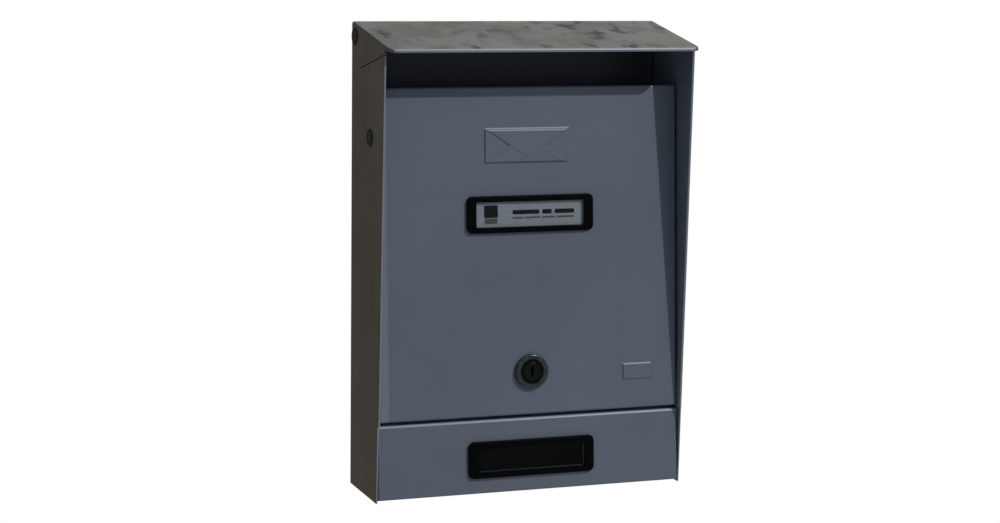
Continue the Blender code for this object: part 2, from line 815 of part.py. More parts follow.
def make_lock_plug(turning, materials):
    """Plug with a keyway, slots for its wafers, a square tenon and a screw hole."""
    face = COLLAR_PROUD - 0.0004
    tenon_start = -BODY_DEPTH - STOP_THICKNESS / 4
    profile = [
        (0.0, face),
        (HEAD_RADIUS - 0.0005, face),
        (HEAD_RADIUS, face - 0.0005),
        (HEAD_RADIUS, face - HEAD_DEPTH),
        (PLUG_RADIUS, face - HEAD_DEPTH),
        (PLUG_RADIUS, tenon_start),
        (0.0, tenon_start),
    ]
    plug = lock_piece("lock_plug", profile, turning)
    tenon_end = -tenon_start + STOP_THICKNESS + CAM_THICKNESS + GAP
    tenon = block(
        "tenon",
        (-TENON, -tenon_start - 0.002, -TENON),
        (TENON, tenon_end, TENON),
        turning,
    )
    half_x, half_z = KEYWAY[0] / 2, KEYWAY[1] / 2
    keyway = block(
        "keyway",
        (-half_x, -face - 0.002, -half_z),
        (half_x, -face + KEYWAY_DEPTH, half_z),
        turning,
    )
    join(plug, tenon)
    cut(plug, keyway)
    for index in range(WAFERS):
        depth = wafer_centre(index)
        reach = PLUG_RADIUS + 0.001
        half = WAFER_THICKNESS / 2 + GAP
        slot = block(
            f"wafer_slot_{index + 1}",
            (-0.0034, depth - half, -reach),
            (0.0034, depth + half, reach),
            turning,
        )
        cut(plug, slot)
    end = Vector((0, tenon_end, 0))
    inwards = Vector((0, SCREW_LENGTH, 0))
    over = Vector((0, 0.001, 0))
    hole = rod("tenon_hole", SCREW_SHANK + GAP, end - inwards, end + over, turning, 16)
    cut(plug, hole)
    return finish(plug, materials["dark chrome"])


def make_wafers(turning, materials):
    """Thin sprung plates in the plug, each with a window for the key."""
    for index in range(WAFERS):
        depth = wafer_centre(index)
        lift = 0.0003 * (1 if index % 2 else -1)
        half = WAFER_THICKNESS / 2
        wafer = front_plate(
            f"lock_wafer_{index + 1}",
            rounded_rectangle((0.0062, 0.0086), 0.0008, 2),
            depth - half,
            depth + half,
            turning,
            (0, lift),
        )
        window = front_plate(
            f"wafer_window_{index + 1}",
            rounded_rectangle((0.0028, 0.0052), 0.0005, 2),
            depth - 0.002,
            depth + 0.002,
            turning,
            (0, lift),
        )
        cut(wafer, window)
        finish(wafer, materials["brass"])


def make_lock_fixings(lock, turning, materials):
    """Nut behind the door's sheet, and the stop washer, cam, washer and screw on the tenon."""
    steel = materials["zinc"]
    hexagon = list(arc((0, 0), NUT_RADIUS, 30, 330, 5))
    near = SHEET + GAP
    nut = front_plate("lock_nut", hexagon, near, near + NUT_DEPTH, lock)
    reach = Vector((0, 0.02, 0))
    cut(nut, rod("nut_thread", BODY_RADIUS + GAP, -reach, reach, lock, 48))
    finish(nut, steel)

    square = (2 * (TENON + PLUG_PLAY), 2 * (TENON + PLUG_PLAY))
    stop_near = BODY_DEPTH + GAP
    stop = front_plate(
        "stop_washer",
        list(arc((0, 0), STOP_RADIUS, 0, 350, 35)),
        stop_near,
        stop_near + STOP_THICKNESS,
        turning,
    )
    cam_near = stop_near + STOP_THICKNESS + GAP
    outline = list(arc((0, 0), CAM_HALF_WIDTH + 0.002, 60, 300, 16))
    outline += list(arc((CAM_LENGTH - CAM_HALF_WIDTH, 0), CAM_HALF_WIDTH, -90, 90, 10))
    cam = front_plate("lock_cam", outline, cam_near, cam_near + CAM_THICKNESS, turning)
    for piece, near in ((stop, stop_near), (cam, cam_near)):
        hole = front_plate(
            f"{piece.name}_square",
            rounded_rectangle(square, 0.0003, 1),
            near - 0.002,
            near + 0.004,
            turning,
        )
        cut(piece, hole)
        finish(piece, steel)

    washer_near = cam_near + CAM_THICKNESS + GAP
    washer = front_plate(
        "cam_washer",
        list(arc((0, 0), WASHER_RADIUS, 0, 350, 35)),
        washer_near,
        washer_near + STOP_THICKNESS,
        turning,
    )
    cut(washer, rod("washer_bore", SCREW_SHANK + GAP, -reach, 2 * reach, turning, 16))
    finish(washer, steel)

    head = -(washer_near + STOP_THICKNESS + GAP)
    profile = [
        (0.0, head - 0.0021),
        (0.0026, head - 0.0020),
        (SCREW_HEAD_RADIUS - 0.0005, head - 0.0015),
        (SCREW_HEAD_RADIUS, head - 0.0006),
        (SCREW_HEAD_RADIUS, head),
        (SCREW_SHANK, head),
        (SCREW_SHANK, head + SCREW_LENGTH),
        (0.0, head + SCREW_LENGTH + 0.0006),
    ]
    screw = lock_piece("cam_screw", list(reversed(profile)), turning)
    slot = block(
        "screw_slot",
        (-0.0006, -head + 0.0011, -0.006),
        (0.0006, -head + 0.004, 0.006),
        turning,
    )
    cut(screw, slot)
    finish(screw, steel)


def add_frame(name, parent, place, tilt=0.0):
    frame = bpy.data.objects.new(name, None)
    frame.parent = parent
    frame.location = place
    frame.rotation_euler = (tilt, 0, 0)
    bpy.data.collections[PARTS].objects.link(frame)
    return frame


def main():
    clear_scene()
    materials = {
        "casing paint": paint("casing paint", (0.090, 0.103, 0.130), 0.32),
        "door paint": paint("door paint", (0.094, 0.108, 0.136), 0.34),
        "pan paint": paint("pan paint", (0.094, 0.108, 0.136), 0.34),
        "back paint": paint("back paint", (0.080, 0.092, 0.115), 0.40),
        "pin plastic": paint("pin plastic", (0.045, 0.048, 0.052), 0.45),
        "black plastic": paint("black plastic", (0.010, 0.010, 0.012), 0.35),
        "clear plastic": paint("clear plastic", (0.85, 0.88, 0.90), 0.05, 0.0, 0.3),
        "card": paint("card", (0.42, 0.43, 0.46), 0.60),
        "dark chrome": paint("dark chrome", (0.12, 0.12, 0.13), 0.25, 0.9),
        "zinc": paint("zinc", (0.55, 0.55, 0.53), 0.40, 0.9),
        "brass": paint("brass", (0.60, 0.45, 0.20), 0.35, 0.9),
    }
    root = add_frame("bottom_edge", None, (0, 0, -HEIGHT / 2))
    hinge = add_frame("hinge_axis", root, (0, *pivot_place()), -TILT)
    lock_place = (0, -PIVOT_SETBACK, door_up(LOCK_HEIGHT))
    lock = add_frame("lock_axis", hinge, lock_place)
    turning = add_frame("plug_axis", lock, (0, 0, 0))

    make_casing(root, materials["casing paint"])
    make_back_panel(root, materials["back paint"])
    _, lower = make_base_pan(root, materials["pan paint"])
    make_door(hinge, materials["door paint"])
    door_inside = DOOR_HALF - SHEET - GAP
    back_inside = PAN_HALF - SHEET - GAP
    for side, sign in (("left", -1), ("right", 1)):
        pin = materials["pin plastic"]
        make_pin(f"hinge_pin_{side}", sign, pivot_place(), door_inside, root, pin)
        make_pin(f"back_pin_{side}", sign, BACK_PIN, back_inside, root, pin)
    make_name_holder(hinge, materials)
    make_lower_window(lower, materials)
    make_lock_housing(lock, materials)
    make_lock_plug(turning, materials)
    make_wafers(turning, materials)
    make_lock_fixings(lock, turning, materials)


main()
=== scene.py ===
# %% [markdown]
# # A wall letterbox in painted sheet steel
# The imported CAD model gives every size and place, and carries the moving bodies. This lesson
# dresses it. The folded sheets are modelled again with true hems and soft edges, the small
# fittings are given their mouldings and chamfers, and every finish is mixed from procedural nodes.

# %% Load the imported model
import json
import math
from contextlib import contextmanager

import bmesh
import bpy
from mathutils import Matrix, Vector

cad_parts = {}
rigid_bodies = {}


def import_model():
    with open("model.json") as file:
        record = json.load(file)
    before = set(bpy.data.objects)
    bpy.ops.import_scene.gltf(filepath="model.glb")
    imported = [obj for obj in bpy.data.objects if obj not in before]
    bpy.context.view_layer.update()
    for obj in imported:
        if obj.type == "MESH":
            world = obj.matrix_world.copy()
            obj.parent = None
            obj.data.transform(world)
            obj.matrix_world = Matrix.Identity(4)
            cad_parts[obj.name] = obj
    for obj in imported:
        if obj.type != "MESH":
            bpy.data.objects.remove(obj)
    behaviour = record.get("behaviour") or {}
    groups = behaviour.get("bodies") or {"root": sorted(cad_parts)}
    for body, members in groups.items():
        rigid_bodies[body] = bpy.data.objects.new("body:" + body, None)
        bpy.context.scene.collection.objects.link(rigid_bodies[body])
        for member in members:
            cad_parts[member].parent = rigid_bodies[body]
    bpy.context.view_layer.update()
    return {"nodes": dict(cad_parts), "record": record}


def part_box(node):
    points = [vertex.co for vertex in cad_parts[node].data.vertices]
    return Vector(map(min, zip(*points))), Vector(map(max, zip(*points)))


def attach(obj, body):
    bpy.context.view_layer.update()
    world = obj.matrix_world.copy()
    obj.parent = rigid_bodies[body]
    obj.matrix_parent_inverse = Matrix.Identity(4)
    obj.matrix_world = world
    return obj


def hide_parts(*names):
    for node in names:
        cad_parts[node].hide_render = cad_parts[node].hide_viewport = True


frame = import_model()
nodes = frame["nodes"]
joints = {joint["name"]: joint for joint in frame["record"]["behaviour"]["joints"]}
print(len(nodes), "nodes, joints:", sorted(joints))

# %% [markdown]
# ## Where things are
# The casing's box gives the width and the heights. The door and the lower panel lean back a
# little, so their fittings are modelled upright in a leaning frame and placed afterwards. The
# lock's axis is square to the door, so its slope is the lean, and its place is on the door's face.

# %% Driving places, read from the frame
casing_low, casing_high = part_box("casing")
half_width = casing_high.x
bottom, top = casing_low.z, casing_high.z
hinge = Vector(joints["door_hinge"]["pos_m"])
lock = Vector(joints["lock_turn"]["pos_m"])
lock_axis = Vector(joints["lock_turn"]["axis"])
lean = math.atan2(-lock_axis.z, lock_axis.y)
door_frame = Matrix.Translation(hinge) @ Matrix.Rotation(-lean, 4, "X")
lock_up = (door_frame.inverted() @ lock).z
door_face = (door_frame.inverted() @ lock).y
pan_low, pan_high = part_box("base_pan")
pan_frame = Matrix.Translation((0, pan_low.y, bottom)) @ Matrix.Rotation(-lean, 4, "X")
print(f"lean {math.degrees(lean):.2f} degrees, door face {door_face * 1000:.1f} mm from its axis")

# %% [markdown]
# ## Working tools
# Each operator acts on what is selected, so a piece is always picked out alone first. Inside
# edit mode the faces, edges or points to work on are picked by where they are, which stays true
# when a size changes.

# %% Selecting and editing
def take(obj):
    """Make this piece the only one selected."""
    bpy.ops.object.select_all(action="DESELECT")
    obj.select_set(True)
    bpy.context.view_layer.objects.active = obj
    return obj


@contextmanager
def edit(obj):
    """Edit mode on one piece, left again at the end."""
    take(obj)
    bpy.ops.object.mode_set(mode="EDIT")
    yield
    bpy.ops.object.mode_set(mode="OBJECT")


def pick(obj, kind, test):
    """Select the faces, edges or points that pass a test."""
    bpy.ops.mesh.select_mode(type=kind)
    bpy.ops.mesh.select_all(action="DESELECT")
    shape = bmesh.from_edit_mesh(obj.data)
    chosen = {"VERT": shape.verts, "EDGE": shape.edges, "FACE": shape.faces}[kind]
    for item in chosen:
        if test(item):
            item.select_set(True)
    bmesh.update_edit_mesh(obj.data)


def every(edge, test):
    """Whether both ends of an edge pass a test."""
    return all(test(vert.co) for vert in edge.verts)


# %% [markdown]
# ### Stock to start from
# Most pieces of a letterbox start as a strip or a rod, so a block between two corners and a round
# bar between two points are enough. A cube could also be added at the origin and moved later, but
# a primitive added at its size and place keeps the object itself at the origin.

# %% Primitives at their size and place
def named(name):
    """Name the primitive just added, and keep its place in its mesh."""
    obj = bpy.context.object
    obj.name = name
    obj.data.name = name
    bpy.ops.object.transform_apply(location=True, rotation=True, scale=True)
    return obj


def block(name, low, high):
    """An upright block between two corners."""
    low, high = Vector(low), Vector(high)
    bpy.ops.object.select_all(action="DESELECT")
    bpy.ops.mesh.primitive_cube_add(size=1, location=(low + high) / 2, scale=high - low)
    return named(name)


def bar(name, radius, start, end, sides=48):
    """A round bar from one point to another."""
    start, end = Vector(start), Vector(end)
    turn = (end - start).to_track_quat("Z", "Y").to_euler()
    bpy.ops.object.select_all(action="DESELECT")
    bpy.ops.mesh.primitive_cylinder_add(
        vertices=sides, radius=radius, depth=(end - start).length,
        location=(start + end) / 2, rotation=turn,
    )
    return named(name)


print("stock ready: block and bar")

# %% [markdown]
# ### Sheet, cuts and soft edges
# Folded sheet is drawn as an open skin and thickened last, holes are cut with bars and blocks, and
# every piece ends with a small bevel, because no real edge is perfectly sharp. The modifiers are
# applied at once, so that the next step works on the true mesh.

# %% Finishing moves
def apply_all(obj):
    """Make every modifier on a piece part of its mesh."""
    take(obj)
    for modifier in list(obj.modifiers):
        bpy.ops.object.modifier_apply(modifier=modifier.name)
    return obj


def thicken(obj, thickness):
    """Give an open skin its sheet thickness, inwards."""
    modifier = obj.modifiers.new("sheet", "SOLIDIFY")
    modifier.thickness = thickness
    modifier.offset = -1
    modifier.use_even_offset = True
    return apply_all(obj)


def combine(obj, other, operation="DIFFERENCE"):
    """Cut or join with another piece, which is used up."""
    modifier = obj.modifiers.new("other", "BOOLEAN")
    modifier.object = other
    modifier.operation = operation
    modifier.solver = "EXACT"
    apply_all(obj)
    bpy.data.objects.remove(other)
    return obj


def soften(obj, width, segments=2, angle=30):
    """Take the sharpness off every edge."""
    modifier = obj.modifiers.new("soft edges", "BEVEL")
    modifier.width = width
    modifier.segments = segments
    modifier.limit_method = "ANGLE"
    modifier.angle_limit = math.radians(angle)
    return apply_all(obj)


def put(obj, place):
    """Move a finished piece from its own frame to its place, and leave the object at the origin."""
    obj.matrix_world = place
    take(obj)
    bpy.ops.object.transform_apply(location=True, rotation=True, scale=True)
    return obj


print("finishing moves ready")

# %% [markdown]
# ### Handing a piece over
# A finished piece is shaded smooth up to an angle, and its large flat faces are given the say over
# the shading next to a bevel. It then takes its finish, rides on its body, and stands in for the
# plainer CAD piece.

# %% Shading, finish and body
pieces = []


def done(obj, body, slot, material, *replaced, angle=35):
    """Shade a finished piece, give it its finish, and tie it to its body."""
    take(obj)
    bpy.ops.object.shade_smooth_by_angle(angle=math.radians(angle))
    modifier = obj.modifiers.new("flat faces stay flat", "WEIGHTED_NORMAL")
    modifier.keep_sharp = True
    apply_all(obj)
    obj.data.materials.clear()
    obj.data.materials.append(material)
    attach(obj, body)
    if replaced:
        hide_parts(*replaced)
    pieces.append(obj.name)
    print(f"{obj.name}: {len(obj.data.polygons)} faces")
    return obj


print("pieces handed over so far:", len(pieces))

# %% [markdown]
# ## Camera
# The box is seen from its left and a little from above, through a long lens, which keeps its
# upright edges nearly level with each other. The camera is set by its direction and distance from
# a point near the middle, and then rolled a little.

# %% Camera
SENSOR_WIDTH = 36
LENS = 85.9

azimuth, elevation, roll = (math.radians(angle) for angle in (-20.835, 7.821, 0.717))
aim = Vector((-0.0138, -0.030, -0.0036))
distance = 1.5422
towards_camera = Vector((
    math.sin(azimuth) * math.cos(elevation),
    -math.cos(azimuth) * math.cos(elevation),
    math.sin(elevation),
))
optics = bpy.data.cameras.new("camera")
optics.sensor_width = SENSOR_WIDTH
optics.lens = LENS
camera = bpy.data.objects.new("camera", optics)
camera.location = aim + towards_camera * distance
level = (-towards_camera).to_track_quat("-Z", "Y").to_matrix()
camera.rotation_euler = (level @ Matrix.Rotation(roll, 3, "Z")).to_euler()
bpy.context.scene.collection.objects.link(camera)
bpy.context.scene.camera = camera
bpy.context.scene.view_settings.view_transform = "Standard"
print("camera at", [round(value, 3) for value in camera.location])

# %% [markdown]
# ## Floor and surroundings
# The box hangs, so the floor lies well below it. A studio's pale paper would fill every shadow, so
# the floor and the world look white to the camera and send out less light than they show. One
# material or world can do both, because a light path node tells the camera's rays from the rest.

# %% A pale floor and a pale surround
SURROUND_LIGHT = 0.215
FLOOR_SIZE = 14
FLOOR_DROP = 0.35


def two_looks(tree, lit, seen, output):
    """Show one shader to the camera and let the other light the object."""
    path = tree.nodes.new("ShaderNodeLightPath")
    mix = tree.nodes.new("ShaderNodeMixShader")
    tree.links.new(path.outputs["Is Camera Ray"], mix.inputs[0])
    tree.links.new(lit.outputs[0], mix.inputs[1])
    tree.links.new(seen.outputs[0], mix.inputs[2])
    tree.links.new(mix.outputs[0], tree.nodes[output].inputs["Surface"])


bpy.ops.object.select_all(action="DESELECT")
bpy.ops.mesh.primitive_plane_add(size=FLOOR_SIZE, location=(0, 0, bottom - FLOOR_DROP))
floor = named("floor")
pale = bpy.data.materials.new("pale floor")
pale.use_nodes = True
chalk = pale.node_tree.nodes["Principled BSDF"]
chalk.inputs["Base Color"].default_value = (0.7, 0.7, 0.7, 1)
chalk.inputs["Roughness"].default_value = 0.9
white = pale.node_tree.nodes.new("ShaderNodeEmission")
two_looks(pale.node_tree, chalk, white, "Material Output")
floor.data.materials.append(pale)

surround = bpy.data.worlds.new("surround")
bpy.context.scene.world = surround
surround.use_nodes = True
soft = surround.node_tree.nodes["Background"]
soft.inputs["Color"].default_value = (0.86, 0.94, 1.0, 1)
soft.inputs["Strength"].default_value = SURROUND_LIGHT
paper = surround.node_tree.nodes.new("ShaderNodeBackground")
paper.inputs["Color"].default_value = (1, 1, 1, 1)
two_looks(surround.node_tree, soft, paper, "World Output")
print("floor at", round(bottom - FLOOR_DROP, 3), "and surround at", SURROUND_LIGHT)

# %% [markdown]
# ## Lamps
# A small key lamp high on the right gives the crisp shadows that the roof's lip and the right wing
# throw on the door. A broad warm lamp behind the left side lights the left wall only. Disks are
# used, because a round lamp leaves no corners in what the paint mirrors.

# %% Lamps
KEY_POWER = 21.5
KEY_SIZE = 0.045
KEY_DISTANCE = 2.4
SIDE_POWER = 2.6
SIDE_SIZE = 1.2
SIDE_PLACE = (-1.6, 0.9, 0.2)


def lamp(name, place, size, power, colour):
    """A round studio lamp that looks at the middle of the box."""
    data = bpy.data.lights.new(name, "AREA")
    data.shape = "DISK"
    data.size = size
    data.energy = power
    data.color = colour
    obj = bpy.data.objects.new(name, data)
    obj.location = place
    obj.rotation_euler = (-Vector(place)).to_track_quat("-Z", "Y").to_euler()
    bpy.context.scene.collection.objects.link(obj)


to_key = Vector((0.735, -1, 0.94)).normalized()
lamp("key lamp", to_key * KEY_DISTANCE, KEY_SIZE, KEY_POWER, (1.0, 0.98, 0.95))
lamp("warm side lamp", SIDE_PLACE, SIDE_SIZE, SIDE_POWER, (1.0, 0.80, 0.52))
print("key lamp towards", [round(value, 2) for value in to_key])

# %% [markdown]
# ## Mixing a finish
# A finish on real sheet is never one flat colour. A slow noise shifts the shade a little from
# place to place, a fine one stands for the pebbled skin that stoved paint dries to, and the gloss
# changes with both. Object coordinates are used throughout, so the grain keeps its size in
# metres on every piece.

# %% A finish and its noise
def new_finish(name, colour, roughness, metallic=0.0):
    """A Principled material, with its object coordinates ready to read."""
    finish = bpy.data.materials.new(name)
    finish.use_nodes = True
    tree = finish.node_tree
    shader = tree.nodes["Principled BSDF"]
    shader.inputs["Base Color"].default_value = (*colour, 1)
    shader.inputs["Roughness"].default_value = roughness
    shader.inputs["Metallic"].default_value = metallic
    finish.diffuse_color = (*colour, 1)
    place = tree.nodes.new("ShaderNodeTexCoord").outputs["Object"]
    return finish, tree, shader, place


def noise(tree, place, scale, detail=2.0, stretch=(1, 1, 1)):
    """Noise whose grain is 1 / scale metres across, drawn out along the axes by stretch."""
    mapping = tree.nodes.new("ShaderNodeMapping")
    mapping.inputs["Scale"].default_value = stretch
    tree.links.new(place, mapping.inputs["Vector"])
    texture = tree.nodes.new("ShaderNodeTexNoise")
    texture.inputs["Scale"].default_value = scale
    texture.inputs["Detail"].default_value = detail
    tree.links.new(mapping.outputs["Vector"], texture.inputs["Vector"])
    return texture.outputs["Fac"]


print("a new finish and its noise are ready")

# %% [markdown]
# ### Ranges, tints and relief
# Noise runs from 0 to 1 about a middle, so it is stretched to the range that a colour or a gloss
# needs before it drives one. A bump node could take the noise directly, but then its depth is
# lost, so heights are given in metres.

# %% Ranges, tints and relief
def spread(tree, value, low, high, to_low, to_high):
    """Carry a value from one range to another, and hold it there."""
    reach = tree.nodes.new("ShaderNodeMapRange")
    reach.inputs["From Min"].default_value = low
    reach.inputs["From Max"].default_value = high
    reach.inputs["To Min"].default_value = to_low
    reach.inputs["To Max"].default_value = to_high
    tree.links.new(value, reach.inputs["Value"])
    return reach.outputs["Result"]


def times(tree, first, second):
    """The product of two values."""
    product = tree.nodes.new("ShaderNodeMath")
    product.operation = "MULTIPLY"
    tree.links.new(first, product.inputs[0])
    tree.links.new(second, product.inputs[1])
    return product.outputs[0]


def tint(tree, under, over, amount):
    """Lay one colour over another by an amount."""
    mix = tree.nodes.new("ShaderNodeMix")
    mix.data_type = "RGBA"
    for colour, socket in ((under, mix.inputs["A"]), (over, mix.inputs["B"])):
        if isinstance(colour, tuple):
            socket.default_value = (*colour, 1)
        else:
            tree.links.new(colour, socket)
    tree.links.new(amount, mix.inputs["Factor"])
    return mix.outputs["Result"]


def emboss(tree, shader, height, depth, after=None):
    """Let a height in metres turn the light, on top of an earlier bump."""
    bump = tree.nodes.new("ShaderNodeBump")
    bump.inputs["Strength"].default_value = 1.0
    bump.inputs["Distance"].default_value = depth
    tree.links.new(height, bump.inputs["Height"])
    if after:
        tree.links.new(after, bump.inputs["Normal"])
    tree.links.new(bump.outputs["Normal"], shader.inputs["Normal"])
    return bump.outputs["Normal"]


def split(tree, vector):
    """The X, Y and Z of a vector."""
    parts = tree.nodes.new("ShaderNodeSeparateXYZ")
    tree.links.new(vector, parts.inputs[0])
    return parts.outputs


def size_of(tree, value):
    """A value without its sign."""
    plain = tree.nodes.new("ShaderNodeMath")
    plain.operation = "ABSOLUTE"
    tree.links.new(value, plain.inputs[0])
    return plain.outputs[0]


print("ranges, tints and relief are ready")

# %% [markdown]
# ### Colours and grain
# The paint is a dull steel blue in three shades, with a dark back panel inside as painted shade.
# The casing's paler shade is painted light. Dust, soot and a paler blue of painted light are laid
# over it. Grain is given by its number of features in a metre and by its depth in metres.

# %% Colours and grain
STEEL_BLUE = (0.172, 0.202, 0.262)
DEEPER_BLUE = (0.152, 0.180, 0.240)
# The casing's paler shade is painted light, which lifts its shaded inner walls.
LIFTED_BLUE = (0.215, 0.238, 0.275)
# Painted shade: the back panel's dark blue keeps the inside of the box dark.
BACK_PAINTED_SHADE = (0.060, 0.074, 0.096)
SHADOW_BLUE = (0.048, 0.060, 0.080)
ROOF_DUST = (0.384, 0.369, 0.322)
WARM_SIDE_TINT = (0.108, 0.082, 0.048)
SOOT = (0.085, 0.083, 0.075)
# Pale blue of painted light: highlights on up-facing folds and hems, bounce light on the door's
# margin.
PAINTED_LIGHT_BLUE = (0.560, 0.610, 0.730)
PEBBLE = 1300
PEBBLE_DEPTH = 0.000012
WAVE = 14
WAVE_DEPTH = 0.00022
BOUNCE_MARGIN = 0.0058
print("pebble every", round(1000 / PEBBLE, 2), "mm and wave every", round(1000 / WAVE), "mm")

# %% [markdown]
# ### Stoved paint
# Powder paint is baked on and flows to a satin skin with a faint pebble. The sheet under it is
# never quite flat, which shows as slow waves in what it mirrors. Folds that face up are painted
# paler, as a painted highlight, except above a set height, where the lip's shadow falls. That
# keeps the door's top fold under the lip dark. Why those edges look paler isn't known: wear is a
# guess, and a glint would look much the same.

# %% Stoved paint
def stoved_paint(name, paler, deeper, lip_shadow_above=1.0):
    """Baked paint between two shades, with its pebble, its waves and a painted highlight on its upper
    folds.
    """
    finish, tree, shader, place = new_finish(name, paler, 0.34)
    facing = split(tree, tree.nodes.new("ShaderNodeNewGeometry").outputs["Normal"])
    drift = noise(tree, place, 9, 3)
    shade = tint(tree, paler, deeper, spread(tree, drift, 0.35, 0.65, 0, 1))
    specks = spread(tree, noise(tree, place, 700, 2), 0.68, 0.78, 0, 0.3)
    shade = tint(tree, shade, ROOF_DUST, specks)
    # Painted highlight: up-facing folds are tinted pale blue, except where the lip's shadow falls.
    upper_fold = spread(tree, facing["Z"], 0.20, 0.50, 0, 0.8)
    not_side = spread(tree, size_of(tree, facing["X"]), 0.20, 0.45, 1, 0)
    out_of_lip_shadow = spread(tree, split(tree, place)["Z"], lip_shadow_above - 0.003, lip_shadow_above, 1, 0)
    polish_and_highlight = times(tree, out_of_lip_shadow, times(tree, upper_fold, not_side))
    shade = tint(tree, shade, PAINTED_LIGHT_BLUE, polish_and_highlight)
    tree.links.new(shade, shader.inputs["Base Color"])
    gloss = spread(tree, noise(tree, place, 40, 4), 0.3, 0.7, 0.29, 0.40)
    tree.links.new(gloss, shader.inputs["Roughness"])
    waves = emboss(tree, shader, noise(tree, place, WAVE, 0.5), WAVE_DEPTH)
    emboss(tree, shader, noise(tree, place, PEBBLE, 1), PEBBLE_DEPTH, waves)
    return finish, tree, shader, place, shade, facing


print("stoved paint is ready to mix")

# %% [markdown]
# ### Front and inside paint
# The door and the lower panel are a shade bluer than the casing, whose outside has caught dust and
# whose paint is mixed paler as painted light. The door's left margin is tinted a little paler, as
# painted light for the light that the left side wall throws back onto it, so the tint is faint. The
# cause isn't known, and light thrown back by the side wall would look the same, so the tint is
# faint. The back panel's paint is darkened as painted shade for the inside of the box.

# %% Front and inside paint
def front_paint():
    """The front's paint, with painted light along the door's left margin."""
    door_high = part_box("door")[1]
    finish, tree, shader, place, shade = stoved_paint(
        "stoved paint, front", STEEL_BLUE, DEEPER_BLUE, door_high.z - 0.002,
    )[:5]
    place = split(tree, place)
    inner, outer = BOUNCE_MARGIN - door_high.x, BOUNCE_MARGIN * 1.3 - door_high.x
    # Painted light: the pale strip along the door's left margin stands in for light thrown back by the
    # left wall.
    bounce_light = spread(tree, place["X"], inner, outer, 0.18, 0)
    above_gap = spread(tree, place["Z"], pan_high.z - 0.012, pan_high.z - 0.010, 0, 1)
    shade = tint(tree, shade, PAINTED_LIGHT_BLUE, times(tree, bounce_light, above_gap))
    tree.links.new(shade, shader.inputs["Base Color"])
    return finish


door_paint = front_paint()
# Painted shade: the back panel is painted dark, where the inside of the box lies in shade.
back_shade_paint = stoved_paint("shade-darkened paint, back", BACK_PAINTED_SHADE, SHADOW_BLUE)[0]
print(door_paint.name, len(door_paint.node_tree.nodes), "nodes")

# %% [markdown]
# ### Weathered paint
# The casing has stood in the rain. Dust has dried on the roof in pale drifts and dark runs,
# and the outer side walls are tinted warm in patches. The front of each wing's hem is painted
# paler, as a painted highlight. What faces up is found from the surface's own direction, and the
# outer skin faces away from the middle of the box.

# %% Weathered paint
def weathered_paint(name):
    """Stoved paint under dust and soot runs, tinted warm on the outer sides, with a painted highlight
    on the hems.
    """
    finish, tree, shader, place, shade, facing = stoved_paint(name, LIFTED_BLUE, STEEL_BLUE)
    upward = spread(tree, facing["Z"], 0.66, 0.80, 0, 1)
    outward = times(tree, split(tree, place)["X"], facing["X"])
    outside = spread(tree, outward, 0.25 * half_width, 0.5 * half_width, 0, 1)

    drifts = spread(tree, noise(tree, place, 22, 5), 0.35, 0.62, 0.75, 1.0)
    film = tint(tree, shade, ROOF_DUST, times(tree, upward, drifts))
    flecks = spread(tree, noise(tree, place, 95, 6, (1, 0.55, 1)), 0.54, 0.64, 0, 0.8)
    patches = spread(tree, noise(tree, place, 16, 2), 0.42, 0.60, 0, 1)
    film = tint(tree, film, SOOT, times(tree, upward, times(tree, flecks, patches)))
    clouds = spread(tree, noise(tree, place, 45, 7, (1, 0.7, 1)), 0.45, 0.60, 0, 0.30)
    film = tint(tree, film, SOOT, times(tree, upward, clouds))
    side_patches = spread(tree, noise(tree, place, 30, 4, (1, 1, 0.2)), 0.3, 0.7, 0.80, 1.0)
    film = tint(tree, film, WARM_SIDE_TINT, times(tree, outside, side_patches))
    # Painted highlight: the front of each wing's hem is tinted pale blue.
    near_side = spread(
        tree, size_of(tree, split(tree, place)["X"]), half_width - 0.0024, half_width - 0.0018, 0, 1,
    )
    hem_highlight = spread(tree, facing["Y"], -0.9, -0.5, 0.22, 0)
    film = tint(tree, film, PAINTED_LIGHT_BLUE, times(tree, near_side, hem_highlight))
    tree.links.new(film, shader.inputs["Base Color"])
    tree.links.new(spread(tree, outside, 0, 1, 0.5, 0.12), shader.inputs["Specular IOR Level"])
    dull = spread(tree, upward, 0, 1, 0, 0.10)
    gloss = tree.nodes.new("ShaderNodeMath")
    gloss.operation = "ADD"
    tree.links.new(shader.inputs["Roughness"].links[0].from_socket, gloss.inputs[0])
    tree.links.new(dull, gloss.inputs[1])
    tree.links.new(gloss.outputs[0], shader.inputs["Roughness"])
    return finish


casing_paint = weathered_paint("weathered paint")
print(casing_paint.name, len(casing_paint.node_tree.nodes), "nodes")

# %% [markdown]
# ### Moulded and clear plastic
# The bezels are injection moulded, with a fine spark-eroded grain. The clear covers are thin
# enough to be shown as a see-through sheet that keeps its shine, where true glass would need many
# more bounces of light.

# %% Moulded plastic
def moulded(name, colour, roughness, grain_depth=0.00003):
    """Grained plastic with a faint mottle."""
    finish, tree, shader, place = new_finish(name, colour, roughness)
    mottle = spread(tree, noise(tree, place, 120, 3), 0.3, 0.7, 0.0, 0.35)
    paler = tuple(value * 1.8 + 0.001 for value in colour)
    tree.links.new(tint(tree, colour, paler, mottle), shader.inputs["Base Color"])
    gloss = spread(tree, noise(tree, place, 60, 4), 0.3, 0.7, roughness - 0.06, roughness + 0.08)
    tree.links.new(gloss, shader.inputs["Roughness"])
    shader.inputs["Specular IOR Level"].default_value = 0.07
    emboss(tree, shader, noise(tree, place, 2600, 1), grain_depth)
    return finish


black_plastic = moulded("black moulding", (0.0014, 0.0017, 0.0024), 0.36)
pin_plastic = moulded("dark moulding", (0.030, 0.028, 0.024), 0.42)


